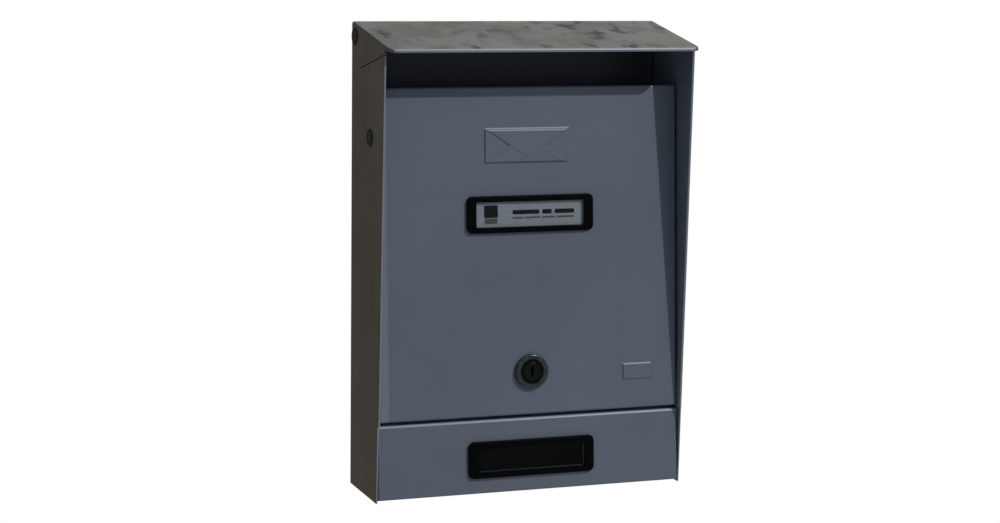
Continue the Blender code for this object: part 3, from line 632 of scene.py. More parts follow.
def see_through(name, colour, body, roughness):
    """A clear sheet, of which only its body share and its shine are seen."""
    finish, tree, shader, place = new_finish(name, colour, roughness)
    scratches = noise(tree, place, 90, 3, (0.2, 1, 1))
    scuffs = spread(tree, scratches, 0.50, 0.75, roughness, roughness + 0.12)
    tree.links.new(scuffs, shader.inputs["Roughness"])
    shader.inputs["Alpha"].default_value = body
    shader.inputs["Specular IOR Level"].default_value = 0.3
    emboss(tree, shader, noise(tree, place, 45, 1), 0.00012)
    return finish


cover_plastic = see_through("clear cover", (0.040, 0.044, 0.050), 0.05, 0.06)
# Painted shade: the pane is near-black and part opaque, which keeps the box's inside dark behind it.
shaded_pane_plastic = see_through("shaded pane", (0.004, 0.006, 0.007), 0.35, 0.12)

# Painted highlight: a pale grey for the bright lines along the window opening's edges.
pale_edge_highlight = moulded("pale edge highlight", (0.100, 0.108, 0.118), 0.30)
print("moulded:", black_plastic.name, "and", pin_plastic.name)

# %% [markdown]
# ### Card and ink
# The slip is a silvery card, whose fibres run along it and lift its shade in streaks. Ink soaks in
# and keeps the same fibres, so one recipe serves both, in different colours.

# %% Card and ink
def printed(name, colour, paler):
    """Card or ink, with fibres along X."""
    finish, tree, shader, place = new_finish(name, colour, 0.45)
    fibre = spread(tree, noise(tree, place, 900, 4, (0.3, 1, 1)), 0.3, 0.7, 0, 1)
    tree.links.new(tint(tree, colour, paler, fibre), shader.inputs["Base Color"])
    shader.inputs["Specular IOR Level"].default_value = 0.15
    emboss(tree, shader, noise(tree, place, 1500, 2), 0.00002)
    return finish


silver_card = printed("silver card", (0.330, 0.372, 0.425), (0.380, 0.422, 0.475))
black_ink = printed("black ink", (0.008, 0.009, 0.011), (0.014, 0.015, 0.018))
grey_ink = printed("grey ink", (0.100, 0.108, 0.120), (0.130, 0.138, 0.150))
print("card and inks:", silver_card.name, black_ink.name, grey_ink.name)

# %% [markdown]
# ### Plated metal
# The lock is a plated zinc casting with cloudy, drawn-out polish marks, and its hidden fixings are
# zinc-plated. The groove round the plug is painted dark, as painted shade. It is found by its
# distance from the lock's axis point, which no change of the mesh can upset.

# %% Plated metal
LOCK_GROOVE_SHADE = (0.006, 0.007, 0.008)


def plated(name, colour, roughness, worn, metallic=0.95, marks=500, groove_shade_radius=0.0):
    """Plating between two shades, darkened as painted shade inside a radius of the lock."""
    finish, tree, shader, place = new_finish(name, colour, roughness, metallic)
    cloud = spread(tree, noise(tree, place, 160, 4), 0.35, 0.65, 0, 1)
    shade = tint(tree, colour, worn, cloud)
    # Painted shade: the groove round the plug is darkened inside a radius of the lock's axis.
    if groove_shade_radius:
        away = tree.nodes.new("ShaderNodeVectorMath")
        away.operation = "DISTANCE"
        away.inputs[1].default_value = lock
        tree.links.new(place, away.inputs[0])
        middle = spread(tree, away.outputs["Value"], groove_shade_radius - 0.0003, groove_shade_radius, 1, 0)
        shade = tint(tree, shade, LOCK_GROOVE_SHADE, middle)
    tree.links.new(shade, shader.inputs["Base Color"])
    polish_and_highlight = noise(tree, place, marks, 3, (1, 1, 0.25))
    gloss = spread(tree, polish_and_highlight, 0.3, 0.7, roughness - 0.08, roughness + 0.12)
    tree.links.new(gloss, shader.inputs["Roughness"])
    emboss(tree, shader, polish_and_highlight, 0.00001)
    return finish


lock_metal = plated(
    "dark plating", (0.095, 0.112, 0.125), 0.26, (0.070, 0.084, 0.092), 0.75, groove_shade_radius=0.0083,
)
barrel_metal = plated("barrel plating", (0.016, 0.017, 0.018), 0.24, (0.009, 0.010, 0.011), 0.6)
zinc_metal = plated("zinc plating", (0.48, 0.48, 0.45), 0.36, (0.36, 0.36, 0.34), 0.95, 300)
brass_metal = plated("stamped brass", (0.56, 0.42, 0.18), 0.32, (0.42, 0.30, 0.12))
print("finishes:", sorted(m.name for m in bpy.data.materials if m.users == 0)[:4], "...")

# %% [markdown]
# ## The casing: one folded sheet
# The side walls and the roof are a single sheet of 0.8 mm steel, folded down on both sides. The
# roof's lip runs on in front of the walls, with rounded corners and a turned-down rim. A plain
# block is sloped, and the feet of its walls are drawn down a little towards the front. Its lip
# corners and its folds are bevelled, and its open sides are deleted before the skin gets its
# thickness. That keeps every fold's radius true.

# %% Slope, corners and folds
SHEET = 0.0008
FOLD = 0.0016
ROOF_SLOPE = 14 / 75
LIP_REACH = 0.075
LIP_CORNER = 0.006
DROP = ROOF_SLOPE * LIP_REACH
WING_FOOT_REACH = 0.056
WING_FOOT_DROP = 0.0016

casing = block("casing_sheet", (-half_width, -LIP_REACH, bottom), (half_width, 0, top))
with edit(casing):
    pick(casing, "VERT", lambda v: v.co.z > 0 and v.co.y < -0.01)
    bpy.ops.transform.translate(value=(0, 0, -DROP))
    pick(casing, "VERT", lambda v: v.co.z < 0 and v.co.y < -0.01)
    bpy.ops.transform.translate(value=(0, 0, -WING_FOOT_DROP * LIP_REACH / WING_FOOT_REACH))
    pick(casing, "EDGE", lambda e: every(e, lambda p: p.y < -0.01) and e.calc_length() > 0.25)
    bpy.ops.mesh.bevel(offset=LIP_CORNER, segments=8, affect="EDGES")
    pick(casing, "FACE", lambda f: f.normal.z < -0.9 or f.normal.y > 0.9)
    bpy.ops.mesh.delete(type="ONLY_FACE")
    pick(
        casing, "EDGE",
        lambda e: len(e.link_faces) == 2 and sum(f.normal.z > 0.9 for f in e.link_faces) == 1,
    )
    bpy.ops.mesh.bevel(offset=FOLD, segments=5, affect="EDGES")
thicken(casing, SHEET)
print(len(casing.data.polygons), "faces in the folded skin")

# %% [markdown]
# The walls are then trimmed to their slanted front edges, as a shear would cut the blank, and
# the lip keeps only a low rim. The trimming blocks are longer than the sheet, so that each cut
# is clean.

# %% Trim the wings and the rim
WING_REACH_TOP = 0.0661
WING_TOP = bottom + 0.2848
SKIRT_REACH = 0.0656
RIM = 0.0024
HEM_RADIUS = 0.0009


def wing_reach(height):
    """How far a wing stands out of the wall plane at a height."""
    share = (height - bottom) / (WING_TOP - bottom)
    return WING_FOOT_REACH + (WING_REACH_TOP - WING_FOOT_REACH) * share


beyond = 0.02
front = block("trim", (-0.2, -0.12, bottom - beyond), (0.2, -0.06, WING_TOP))
with edit(front):
    for height in (bottom - beyond, WING_TOP):
        pick(front, "VERT", lambda v: v.co.y > -0.07 and abs(v.co.z - height) < 0.001)
        bpy.ops.transform.translate(value=(0, 0.06 - wing_reach(height) + HEM_RADIUS, 0))
    pick(front, "VERT", lambda v: v.co.y < -0.11 and v.co.z > 0)
    bpy.ops.transform.translate(value=(0, 0, -ROOF_SLOPE * 0.06))
combine(casing, front)
rim_top = top - ROOF_SLOPE * SKIRT_REACH - RIM
front = block("trim", (-0.2, -0.10, WING_TOP - 0.03), (0.2, -SKIRT_REACH, rim_top))
with edit(front):
    pick(front, "VERT", lambda v: v.co.y < -0.09 and v.co.z > WING_TOP - 0.01)
    bpy.ops.transform.translate(value=(0, 0, -ROOF_SLOPE * (0.10 - SKIRT_REACH)))
combine(casing, front)
print("wing reach", round(wing_reach(bottom), 4), "to", round(wing_reach(WING_TOP), 4))

# %% [markdown]
# A raw sheet edge would cut a hand, so each wing's front edge is hemmed: folded
# right back on itself towards the inside. The strip of edge faces is spun half a turn about a
# line that follows the slanted edge, and its end is then drawn back along the wall.

# %% Hem the wings
HEM_BOTTOM = bottom + 0.0484
HEM_TOP = bottom + 0.2832
HEM_RETURN = 0.005
edge_line = Vector((0, WING_FOOT_REACH - WING_REACH_TOP, WING_TOP - bottom)).normalized()

with edit(casing):
    for height in (HEM_BOTTOM, HEM_TOP):
        bpy.ops.mesh.select_all(action="SELECT")
        bpy.ops.mesh.bisect(plane_co=(0, 0, height), plane_no=(0, 0, 1))
for sign in (-1, 1):
    with edit(casing):
        pick(
            casing, "FACE",
            lambda f: f.normal.y < -0.9 and f.calc_center_median().x * sign > 0.1
            and HEM_BOTTOM < f.calc_center_median().z < HEM_TOP,
        )
        bpy.ops.mesh.spin(
            steps=8, angle=math.pi * sign,
            center=(sign * (half_width - HEM_RADIUS), HEM_RADIUS - wing_reach(bottom), bottom),
            axis=edge_line,
        )
        bpy.ops.mesh.extrude_region_move(TRANSFORM_OT_translate={"value": (0, HEM_RETURN, 0)})
hem_x = [v.co.x for v in casing.data.vertices if v.co.y < -0.045 and v.co.z < HEM_TOP and v.co.x > 0]
print("hem spans x from", round(min(hem_x), 4), "to", round(max(hem_x), 4))

# %% [markdown]
# The left wall has a slanted slit under the roof that ends in a small round relief, where the
# blank was cut so that the hem could be folded. Snap-in pins pass through round holes.

# %% Slit and pin holes
SLIT_END = Vector((0, -0.017, bottom + 0.271))
SLIT_START = Vector((0, -0.070, bottom + 0.2827))
SLIT_WIDTH = 0.0009
RELIEF_RADIUS = 0.0012
PIN_HOLE = 0.0028

run = SLIT_START - SLIT_END
half_run, half_slit = run.length / 2, SLIT_WIDTH / 2
slit = block("slit", (-0.11, -half_run, -half_slit), (-0.10, half_run, half_slit))
put(slit, Matrix.Translation((SLIT_START + SLIT_END) / 2)
    @ Matrix.Rotation(math.atan2(-run.z, -run.y), 4, "X"))
combine(casing, slit)
outwards = Vector((0.12, 0, 0))
combine(casing, bar("relief", RELIEF_RADIUS, SLIT_END - outwards, SLIT_END - outwards * 0.85, 20))
back_pin_low, back_pin_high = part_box("back_pin_left")
back_pin = (back_pin_low + back_pin_high) / 2
for axle in (hinge, Vector((0, back_pin.y, back_pin.z))):
    combine(casing, bar("pin_hole", PIN_HOLE, axle - outwards, axle + outwards, 32))
soften(casing, 0.00018, 2, 50)
done(casing, "box", "casing_paint", casing_paint, "casing")

# %% [markdown]
# ## The back panel
# A shallow tray with its rim towards the front, closed behind by the wall. It hangs on two
# keyholes and is steadied by two more screws. An ear at each upper corner takes a snap-in pin.
# A block without its front face, bevelled along its folds and thickened, gives the tray.

# %% Back panel
TRAY_DEPTH = 0.0056
SCREW_X = 0.075
SCREW_UPPER = bottom + 0.240
SCREW_LOWER = bottom + 0.066
KEYHOLE_DROP = 0.009
SCREW_HOLE = 0.00325
KEYHOLE = 0.0055
EAR = 0.013
EAR_INSET = 0.00002

tray_low, tray_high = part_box("back_panel")
tray = block("back_sheet", (tray_low.x, -TRAY_DEPTH, tray_low.z), (tray_high.x, 0, tray_high.z))
with edit(tray):
    pick(tray, "FACE", lambda f: f.normal.y < -0.9)
    bpy.ops.mesh.delete(type="ONLY_FACE")
    pick(tray, "EDGE", lambda e: len(e.link_faces) == 2)
    bpy.ops.mesh.bevel(offset=FOLD, segments=4, affect="EDGES")
thicken(tray, SHEET)
for sign in (-1, 1):
    ear_sides = sorted((sign * (tray_high.x - EAR_INSET), sign * (tray_high.x - SHEET + EAR_INSET)))
    ear = block(
        "ear",
        (ear_sides[0], tray_low.y, tray_high.z - EAR),
        (ear_sides[1], -0.0025, tray_high.z - 0.0024),
    )
    with edit(ear):
        pick(ear, "EDGE", lambda e: every(e, lambda p: p.y < -0.008) and e.calc_length() < 0.002)
        bpy.ops.mesh.bevel(offset=0.003, segments=5, affect="EDGES")
    combine(tray, ear, "UNION")
    head = Vector((sign * SCREW_X, 0, SCREW_UPPER))
    drop = head - Vector((0, 0, KEYHOLE_DROP))
    foot = Vector((sign * SCREW_X, 0, SCREW_LOWER))
    deep = Vector((0, 0.01, 0))
    narrow = Vector((0.8 * SCREW_HOLE, 0.01, 0))
    combine(tray, bar("hole", SCREW_HOLE, head - deep, head + deep, 32))
    combine(tray, block("slot", drop - narrow, head + narrow))
    combine(tray, bar("hole", KEYHOLE, drop - deep, drop + deep, 40))
    combine(tray, bar("hole", SCREW_HOLE, foot - deep, foot + deep, 32))
axle = Vector((0, back_pin.y, back_pin.z))
combine(tray, bar("pin_hole", PIN_HOLE, axle - outwards, axle + outwards, 32))
soften(tray, 0.00016, 2, 50)
done(tray, "box", "back_paint", back_shade_paint, "back_panel")

# %% [markdown]
# ## The base pan
# One strip makes the floor, the lower front panel, the ledge over it and an upstand behind the
# door, which the lock's cam catches. It is drawn as a line of edges, one extrusion for each
# stretch, as a folding machine would bend it, and only then are its folds rounded.

# %% Base pan
PANEL_TOP = 0.0472
LEDGE_REACH = 0.0411
UPSTAND_TOP = 0.059
PAN_FLANGE = 0.010
BEZEL_HOLE = (0.079, 0.0196)

lean_back = math.tan(lean) * PANEL_TOP
bpy.ops.object.select_all(action="DESELECT")
bpy.ops.mesh.primitive_plane_add(size=1, location=(0, pan_low.y / 2, bottom))
bpy.context.object.scale = (pan_high.x * 2, -pan_low.y, 1)
pan = named("base_sheet")
with edit(pan):
    pick(pan, "EDGE", lambda e: every(e, lambda p: p.y < pan_low.y + 0.001))
    bends = (
        (0, lean_back, PANEL_TOP),
        (0, -pan_low.y - lean_back - LEDGE_REACH, 0),
        (0, 0, UPSTAND_TOP - PANEL_TOP),
    )
    for bend in bends:
        bpy.ops.mesh.extrude_region_move(TRANSFORM_OT_translate={"value": bend})
    for sign in (-1, 1):
        pick(
            pan, "EDGE",
            lambda e: len(e.link_faces) == 1 and every(e, lambda p: p.x * sign > 0.1)
            and abs(e.verts[0].co.z - e.verts[1].co.z) > 0.03,
        )
        bpy.ops.mesh.extrude_region_move(TRANSFORM_OT_translate={"value": (0, PAN_FLANGE, 0)})
    pick(pan, "FACE", lambda f: True)
    bpy.ops.mesh.normals_make_consistent(inside=False)
    pick(pan, "EDGE", lambda e: len(e.link_faces) == 2)
    bpy.ops.mesh.bevel(offset=FOLD, segments=4, affect="EDGES")
floor_face = min(pan.data.polygons, key=lambda face: face.center.z)
if floor_face.normal.z > 0:
    with edit(pan):
        bpy.ops.mesh.select_all(action="SELECT")
        bpy.ops.mesh.flip_normals()
thicken(pan, SHEET)
window_low, window_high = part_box("window_bezel")
window_up = (pan_frame.inverted() @ ((window_low + window_high) / 2)).z
half_hole = Vector((BEZEL_HOLE[0] / 2, 0.004, BEZEL_HOLE[1] / 2))
middle = Vector((0, 0, window_up))
hole = block("window_hole", middle - half_hole, middle + half_hole)
combine(pan, put(hole, pan_frame))
soften(pan, 0.00016, 2, 50)
done(pan, "box", "pan_paint", door_paint, "base_pan")

# %% [markdown]
# ## The door
# A flat sheet with a rim folded inwards all round, which stiffens it and hides its edges. As with
# the back panel, a block without its rear face is bevelled along its folds and thickened. It is
# modelled upright about its axis and leaned back last.

# %% Door tray
door_low, door_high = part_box("door")
door_half = door_high.x
DOOR_DEPTH = 0.012
to_door = door_frame.inverted()
door_top = (door_high.z - hinge.z) / math.cos(lean) - 0.0003
door_bottom = (door_low.z - hinge.z) / math.cos(lean) + 0.0007

door = block(
    "door_sheet", (-door_half, door_face, door_bottom), (door_half, door_face + DOOR_DEPTH, door_top),
)
with edit(door):
    pick(door, "FACE", lambda f: f.normal.y > 0.9)
    bpy.ops.mesh.delete(type="ONLY_FACE")
    pick(door, "EDGE", lambda e: len(e.link_faces) == 2)
    bpy.ops.mesh.bevel(offset=FOLD, segments=4, affect="EDGES")
thicken(door, SHEET)
print("door from", round(door_bottom, 4), "to", round(door_top, 4), "about its axis")

# %% [markdown]
# The door has an envelope and a plain plaque pressed out of it. A bump in the paint would vanish
# at a glancing view, so the pressings are low blocks with sloped sides. They are joined on before
# the last soft edge, so that their feet are rounded as a press leaves them.

# %% Pressing tools
ENVELOPE_LOW = Vector((-0.0312, 0, bottom + 0.2107))
ENVELOPE_HIGH = Vector((0.0281, 0, bottom + 0.2342))
FLAP_TIP = Vector((-0.0010, 0, bottom + 0.2141))
FOLD_MEETS = Vector((0.0124, 0, bottom + 0.2229))
PRESSED = 0.0009
LOWER_FOLD = 0.0006
UPPER_FOLD = 0.0008
PLAQUE = (Vector((0.0640, 0, bottom + 0.0682)), Vector((0.0850, 0, bottom + 0.0792)))


def door_up(height):
    """How far up the door, from its axis, a height is."""
    return (height - hinge.z) / math.cos(lean)


def pressing(name, low, high, rise, slope):
    """A low block that stands out of the door's face, with sloped sides."""
    raised = block(
        name,
        (low.x, door_face - rise, door_up(low.z)),
        (high.x, door_face + SHEET / 2, door_up(high.z)),
    )
    with edit(raised):
        pick(raised, "EDGE", lambda e: abs(e.verts[0].co.y - e.verts[1].co.y) > rise)
        bpy.ops.mesh.bevel(offset=slope, segments=2, affect="EDGES")
        pick(raised, "EDGE", lambda e: every(e, lambda p: p.y < door_face))
        bpy.ops.mesh.bevel(offset=slope, segments=1, affect="EDGES")
    return raised


def flap(name, low, high, rise, slope, narrow_end, tip_x, tip_width):
    """One fold of the envelope: a block drawn together to a tip at one end."""
    piece = block(
        name,
        (low.x, door_face - rise, door_up(low.z)),
        (high.x, door_face + SHEET / 2, door_up(high.z)),
    )
    with edit(piece):
        pick(piece, "VERT", lambda v: abs(v.co.z - door_up(narrow_end)) < 0.0001)
        share = tip_width / (high.x - low.x)
        bpy.ops.transform.resize(value=(share, 1, 1), center_override=(tip_x, 0, 0))
        pick(piece, "EDGE", lambda e: every(e, lambda p: p.y < door_face))
        bpy.ops.mesh.bevel(offset=slope, segments=1, affect="EDGES")
    return piece


print("an envelope", round((ENVELOPE_HIGH.x - ENVELOPE_LOW.x) * 1000, 1), "mm wide")

# %% [markdown]
# The envelope is a low plate. Its lower fold rises to a wide top edge, and its upper flap comes
# down over it to a narrow tip, each a block drawn together at one end. The plaque is one low
# block.

# %% Pressed envelope and plaque
inner = Vector((0.0016, 0, 0.0016))
combine(door, pressing("envelope", ENVELOPE_LOW, ENVELOPE_HIGH, PRESSED, 0.0013), "UNION")
low_fold = (
    ENVELOPE_LOW + Vector((inner.x, 0, inner.z / 2)),
    Vector((ENVELOPE_HIGH.x - inner.x, 0, FOLD_MEETS.z)),
)
combine(door, flap(
    "lower_fold", *low_fold, PRESSED + LOWER_FOLD, LOWER_FOLD * 1.6, FOLD_MEETS.z,
    (ENVELOPE_LOW.x + ENVELOPE_HIGH.x) / 2, 2 * FOLD_MEETS.x,
), "UNION")
high_fold = (Vector((ENVELOPE_LOW.x + inner.x, 0, FLAP_TIP.z)), ENVELOPE_HIGH - inner)
combine(door, flap(
    "upper_fold", *high_fold, PRESSED + UPPER_FOLD, UPPER_FOLD * 1.1, FLAP_TIP.z, FLAP_TIP.x, 0.0024,
), "UNION")
combine(door, pressing("plaque", *PLAQUE, PRESSED, 0.0009), "UNION")
print("door with its pressings:", len(door.data.polygons), "faces")

# %% [markdown]
# The name holder's collar goes through a plain rectangular hole. The lock's hole has two flats, so
# that the housing can't turn with the key. It is made as a round bar with both sides cut off, and
# that bar is then cut out of the door.

# %% Holes in the door
LOCK_FLAT = 0.0083
LOCK_HOLE = 0.0093
name_low, name_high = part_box("name_bezel")
name_up = (to_door @ ((name_low + name_high) / 2)).z
middle = Vector((0, door_face, name_up))
combine(door, block("name_hole", middle - half_hole, middle + half_hole))
seat = Vector((0, door_face, lock_up))
deep = Vector((0, 0.004, 0))
lock_hole = bar("lock_hole", LOCK_HOLE, seat - deep, seat + deep, 64)
for sign in (-1, 1):
    flat_low, flat_high = sorted((sign * LOCK_FLAT, sign * 0.012))
    combine(lock_hole, block(
        "flat", (flat_low, -0.02, lock_up - 0.02), (flat_high, 0.02, lock_up + 0.02),
    ))
combine(door, lock_hole)
combine(door, bar("pin_hole", PIN_HOLE, -outwards, outwards, 32))
soften(door, 0.00015, 2, 25)
put(door, door_frame)
done(door, "door", "door_paint", door_paint, "door")

# %% [markdown]
# ## Name holder and window frame
# Both are the same moulding: a flat frame with rounded corners and a soft outer edge, on a collar
# that goes through the sheet. A block is bevelled at its corners and its front rim, joined to its
# collar, and then opened. The opening's sides slope, so that the moulding would leave its tool.

# %% The frame moulding
FRAME_SIZE = Vector((0.0865, 0, 0.0238))
FRAME_CORNER = 0.0038
FRAME_PROUD = 0.0024
FRAME_COLLAR = Vector((0.0784, 0, 0.0190))
FRAME_DEPTH = 0.0048
FRAME_EDGE = 0.0008
COLLAR_CORNER = 0.0010
OPENING = Vector((0.0730, 0, 0.0154))
OPENING_CORNER = 0.0014
DRAFT = 0.0007
GAP = 0.0003


def frame_block(name, size, up, front, back, corner):
    """A rounded block of the moulding, upright, between a front and a back."""
    half = size / 2
    solid = block(name, (-half.x, front, up - half.z), (half.x, back, up + half.z))
    with edit(solid):
        pick(solid, "EDGE", lambda e: abs(e.verts[0].co.y - e.verts[1].co.y) > 0.001)
        bpy.ops.mesh.bevel(offset=corner, segments=8, affect="EDGES")
    return solid


def bezel(name, up, face, place):
    """The frame moulding on a face, so far up it, carried to its place."""
    front = face - FRAME_PROUD
    moulding = frame_block(name, FRAME_SIZE, up, front, face - GAP, FRAME_CORNER)
    with edit(moulding):
        pick(moulding, "EDGE", lambda e: every(e, lambda p: p.y < front + 0.0001))
        bpy.ops.mesh.bevel(offset=FRAME_EDGE, segments=4, affect="EDGES")
    collar = frame_block("collar", FRAME_COLLAR, up, front + 0.001, face + FRAME_DEPTH, COLLAR_CORNER)
    combine(moulding, collar, "UNION")
    opening = frame_block("opening", OPENING, up, front - 0.001, face + 0.02, OPENING_CORNER)
    with edit(opening):
        pick(opening, "VERT", lambda v: v.co.y < front)
        spread_x, spread_z = (1 + 2 * DRAFT / side for side in (OPENING.x, OPENING.z))
        bpy.ops.transform.resize(value=(spread_x, 1, spread_z), center_override=(0, 0, up))
    combine(moulding, opening)
    soften(moulding, 0.00022, 3, 40)
    return put(moulding, place)


name_frame = bezel("name_frame", name_up, door_face, door_frame)
done(name_frame, "door", "black_plastic", black_plastic, "name_bezel")
window_frame = bezel("window_frame", window_up, 0.0, pan_frame)
done(window_frame, "box", "black_plastic", black_plastic, "window_bezel")

# %% [markdown]
# The inspection window's pane is held by a bead along the foot and the right side of its
# opening. The bead is coloured pale as a painted highlight, for the light that these edges catch.

# %% Pane beads
BEAD = 0.0004
BEAD_END = 0.001

opening_right = OPENING.x / 2
opening_foot = window_up - OPENING.z / 2
opening_head = -opening_foot + 2 * window_up
beads = (
    (
        "highlight_bead_foot",
        (-opening_right + BEAD_END, opening_foot),
        (opening_right - BEAD_END, opening_foot + BEAD),
    ),
    (
        "highlight_bead_side",
        (opening_right - BEAD, opening_foot + BEAD_END),
        (opening_right, opening_head - BEAD_END),
    ),
)
# Each bead is a painted highlight along one edge of the opening.
for name, (left, low), (right, high) in beads:
    bead = block(name, (left, -FRAME_PROUD + 0.0012, low - 0.0002), (right + 0.0001, 0.0010, high))
    soften(bead, 0.00012, 2, 40)
    put(bead, pan_frame)
    done(bead, "box", "clear_plastic", pale_edge_highlight)

# %% [markdown]
# ## Name slip
# The slip is a silver card that lies behind the clear cover. It is a thin block with rounded
# corners, a little shorter than its slot, so that it can slide in from behind.

# %% Name slip
slip_low, slip_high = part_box("name_card")
slip_middle = to_door @ ((slip_low + slip_high) / 2)
slip_half = (slip_high - slip_low) / 2
slip_front = slip_middle.y - 0.0002
slip = block(
    "name_slip",
    (-slip_half.x, slip_front, slip_middle.z - slip_half.z * 0.98),
    (slip_half.x, slip_front + 0.0004, slip_middle.z + slip_half.z * 0.98),
)
with edit(slip):
    pick(slip, "EDGE", lambda e: abs(e.verts[0].co.y - e.verts[1].co.y) > 0.0003)
    bpy.ops.mesh.bevel(offset=0.0008, segments=4, affect="EDGES")
soften(slip, 0.00008, 1, 40)
put(slip, door_frame)
done(slip, "door", "card", silver_card, "name_card")

# %% [markdown]
# A plain square and rows of bars stand for the slip's print. They could be drawn in the card's
# material, but very thin raised pieces stay crisp from close by, and each is placed from the slip's
# middle.

# %% The slip's print
INK = 0.00006


def stamp(name, left, right, low, high, corner, material):
    """One printed patch, placed from the slip's middle."""
    patch = block(
        name,
        (left, slip_front - INK, slip_middle.z + low),
        (right, slip_front + INK, slip_middle.z + high),
    )
    with edit(patch):
        pick(patch, "EDGE", lambda e: abs(e.verts[0].co.y - e.verts[1].co.y) > INK)
        bpy.ops.mesh.bevel(offset=corner, segments=3, affect="EDGES")
    put(patch, door_frame)
    return done(patch, "door", "card", material)


WORDS = ((-0.0118, 0.0066), (0.0086, 0.0152), (0.0172, 0.0308))
SMALL_WORDS = ((-0.0120, -0.0042), (-0.0032, 0.0074), (0.0084, 0.0176), (0.0186, 0.0306))

stamp("ink_square", -0.0312, -0.0218, -0.0020, 0.0060, 0.0006, black_ink)
stamp("ink_square_foot", -0.0308, -0.0222, -0.0058, -0.0024, 0.0004, grey_ink)
for number, (left, right) in enumerate(WORDS, 1):
    stamp(f"ink_bar_{number}", left, right, -0.0002, 0.0026, 0.0008, black_ink)
for number, (left, right) in enumerate(SMALL_WORDS, 1):
    stamp(f"ink_thin_bar_{number}", left, right, -0.0030, -0.0018, 0.0004, grey_ink)

# %% [markdown]
# ## Lock
# The housing's collar is a turned, domed disc, dark plated, with a groove round the plug. A
# cylinder's front edge is bevelled to a dome and its face is inset and pushed in, ring by ring. Its
# shank has two flats, and a stepped bore takes the plug.

# %% Lock housing
COLLAR_RADIUS = 0.01125
COLLAR_PROUD = 0.0030
BODY_RADIUS = 0.0090
BODY_FLAT = 0.0080
BODY_DEPTH = 0.0125
HEAD_RADIUS = 0.0062
HEAD_DEPTH = 0.0018
PLUG_SET_BACK = 0.0004
PLUG_RADIUS = 0.0052
PLAY = 0.00015


def on_lock(depth):
    """A point on the lock's axis, so far behind the door's outer face."""
    return Vector((0, door_face + depth, lock_up))


collar_front = on_lock(-COLLAR_PROUD)
housing = bar("lock_face", COLLAR_RADIUS, on_lock(-GAP), collar_front, 128)
with edit(housing):
    pick(housing, "EDGE", lambda e: every(e, lambda p: p.y < collar_front.y + 0.0001))
    bpy.ops.mesh.bevel(offset=0.0011, segments=5, affect="EDGES")
    pick(housing, "FACE", lambda f: f.normal.y < -0.99 and len(f.verts) > 20)
    bpy.ops.mesh.inset(thickness=0.0018)
    bpy.ops.mesh.inset(thickness=0.0006, depth=-0.0009)
shank = bar("shank", BODY_RADIUS, on_lock(-0.001), on_lock(BODY_DEPTH), 64)
for sign in (-1, 1):
    flat_low, flat_high = sorted((sign * BODY_FLAT, sign * 0.012))
    flat_front = door_face - GAP * 0.7
    combine(shank, block(
        "flat", (flat_low, flat_front, lock_up - 0.02), (flat_high, flat_front + 0.04, lock_up + 0.02),
    ))
combine(housing, shank, "UNION")
seat_depth = HEAD_DEPTH + PLAY + PLUG_SET_BACK - COLLAR_PROUD
combine(housing, bar("bore", PLUG_RADIUS + PLAY, on_lock(-0.01), on_lock(BODY_DEPTH + 0.01), 96))
combine(housing, bar("head_bore", HEAD_RADIUS + PLAY, on_lock(-0.01), on_lock(seat_depth), 96))
soften(housing, 0.00012, 2, 35)
put(housing, door_frame)
done(housing, "door", "dark_chrome", lock_metal, "lock_housing")

# %% [markdown]
# The plug turns in the housing. Its face has a keyway, a narrow slot with chamfered corners, and a
# square tenon behind carries the cam. It is a head and a shank joined, with the slot cut in.

# %% Lock plug
KEYWAY = (0.0018, 0.0078)
KEYWAY_DEPTH = 0.0110
TENON = 0.0035

plug_front = on_lock(PLUG_SET_BACK - COLLAR_PROUD)
plug_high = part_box("lock_plug")[1]
tenon_end = (to_door @ Vector((0, plug_high.y, lock.z))).y
plug = bar("lock_barrel", HEAD_RADIUS, plug_front + Vector((0, HEAD_DEPTH, 0)), plug_front, 96)
with edit(plug):
    pick(plug, "EDGE", lambda e: every(e, lambda p: p.y < plug_front.y + 0.0001))
    bpy.ops.mesh.bevel(offset=0.0005, segments=3, affect="EDGES")
plug_shank = bar("shank", PLUG_RADIUS, plug_front + Vector((0, 0.001, 0)), on_lock(BODY_DEPTH), 64)
combine(plug, plug_shank, "UNION")
combine(plug, block(
    "tenon",
    (-TENON, door_face + BODY_DEPTH - 0.002, lock_up - TENON),
    (TENON, tenon_end, lock_up + TENON),
), "UNION")
keyway = block(
    "keyway",
    (-KEYWAY[0] / 2, plug_front.y - 0.002, lock_up - KEYWAY[1] / 2),
    (KEYWAY[0] / 2, plug_front.y + KEYWAY_DEPTH, lock_up + KEYWAY[1] / 2),
)
with edit(keyway):
    pick(keyway, "EDGE", lambda e: abs(e.verts[0].co.y - e.verts[1].co.y) > 0.003)
    bpy.ops.mesh.bevel(offset=0.0004, segments=2, affect="EDGES")
combine(plug, keyway)
soften(plug, 0.00018, 2, 35)
put(plug, door_frame)
done(plug, "plug", "dark_chrome", barrel_metal, "lock_plug")

# %% [markdown]
# ## Snap-in pins
# Four pins of dark plastic, each with a low head that has a ring groove, and a split stem that
# springs out behind the sheet. The stem's taper and bulb are scaled rings of one cylinder. Its
# slot is cut right through, so that the two halves can give.

# %% Pins
PIN_HEAD_RADIUS = 0.0055
HEAD_RISE = 0.0006
HEAD_PLAY = 0.0001
STEM_RADIUS = 0.0026
BULB_RADIUS = 0.0030
BULB_SHARE = 0.25
TIP_TAPER = 0.7
PIN_SPLIT = 0.0004


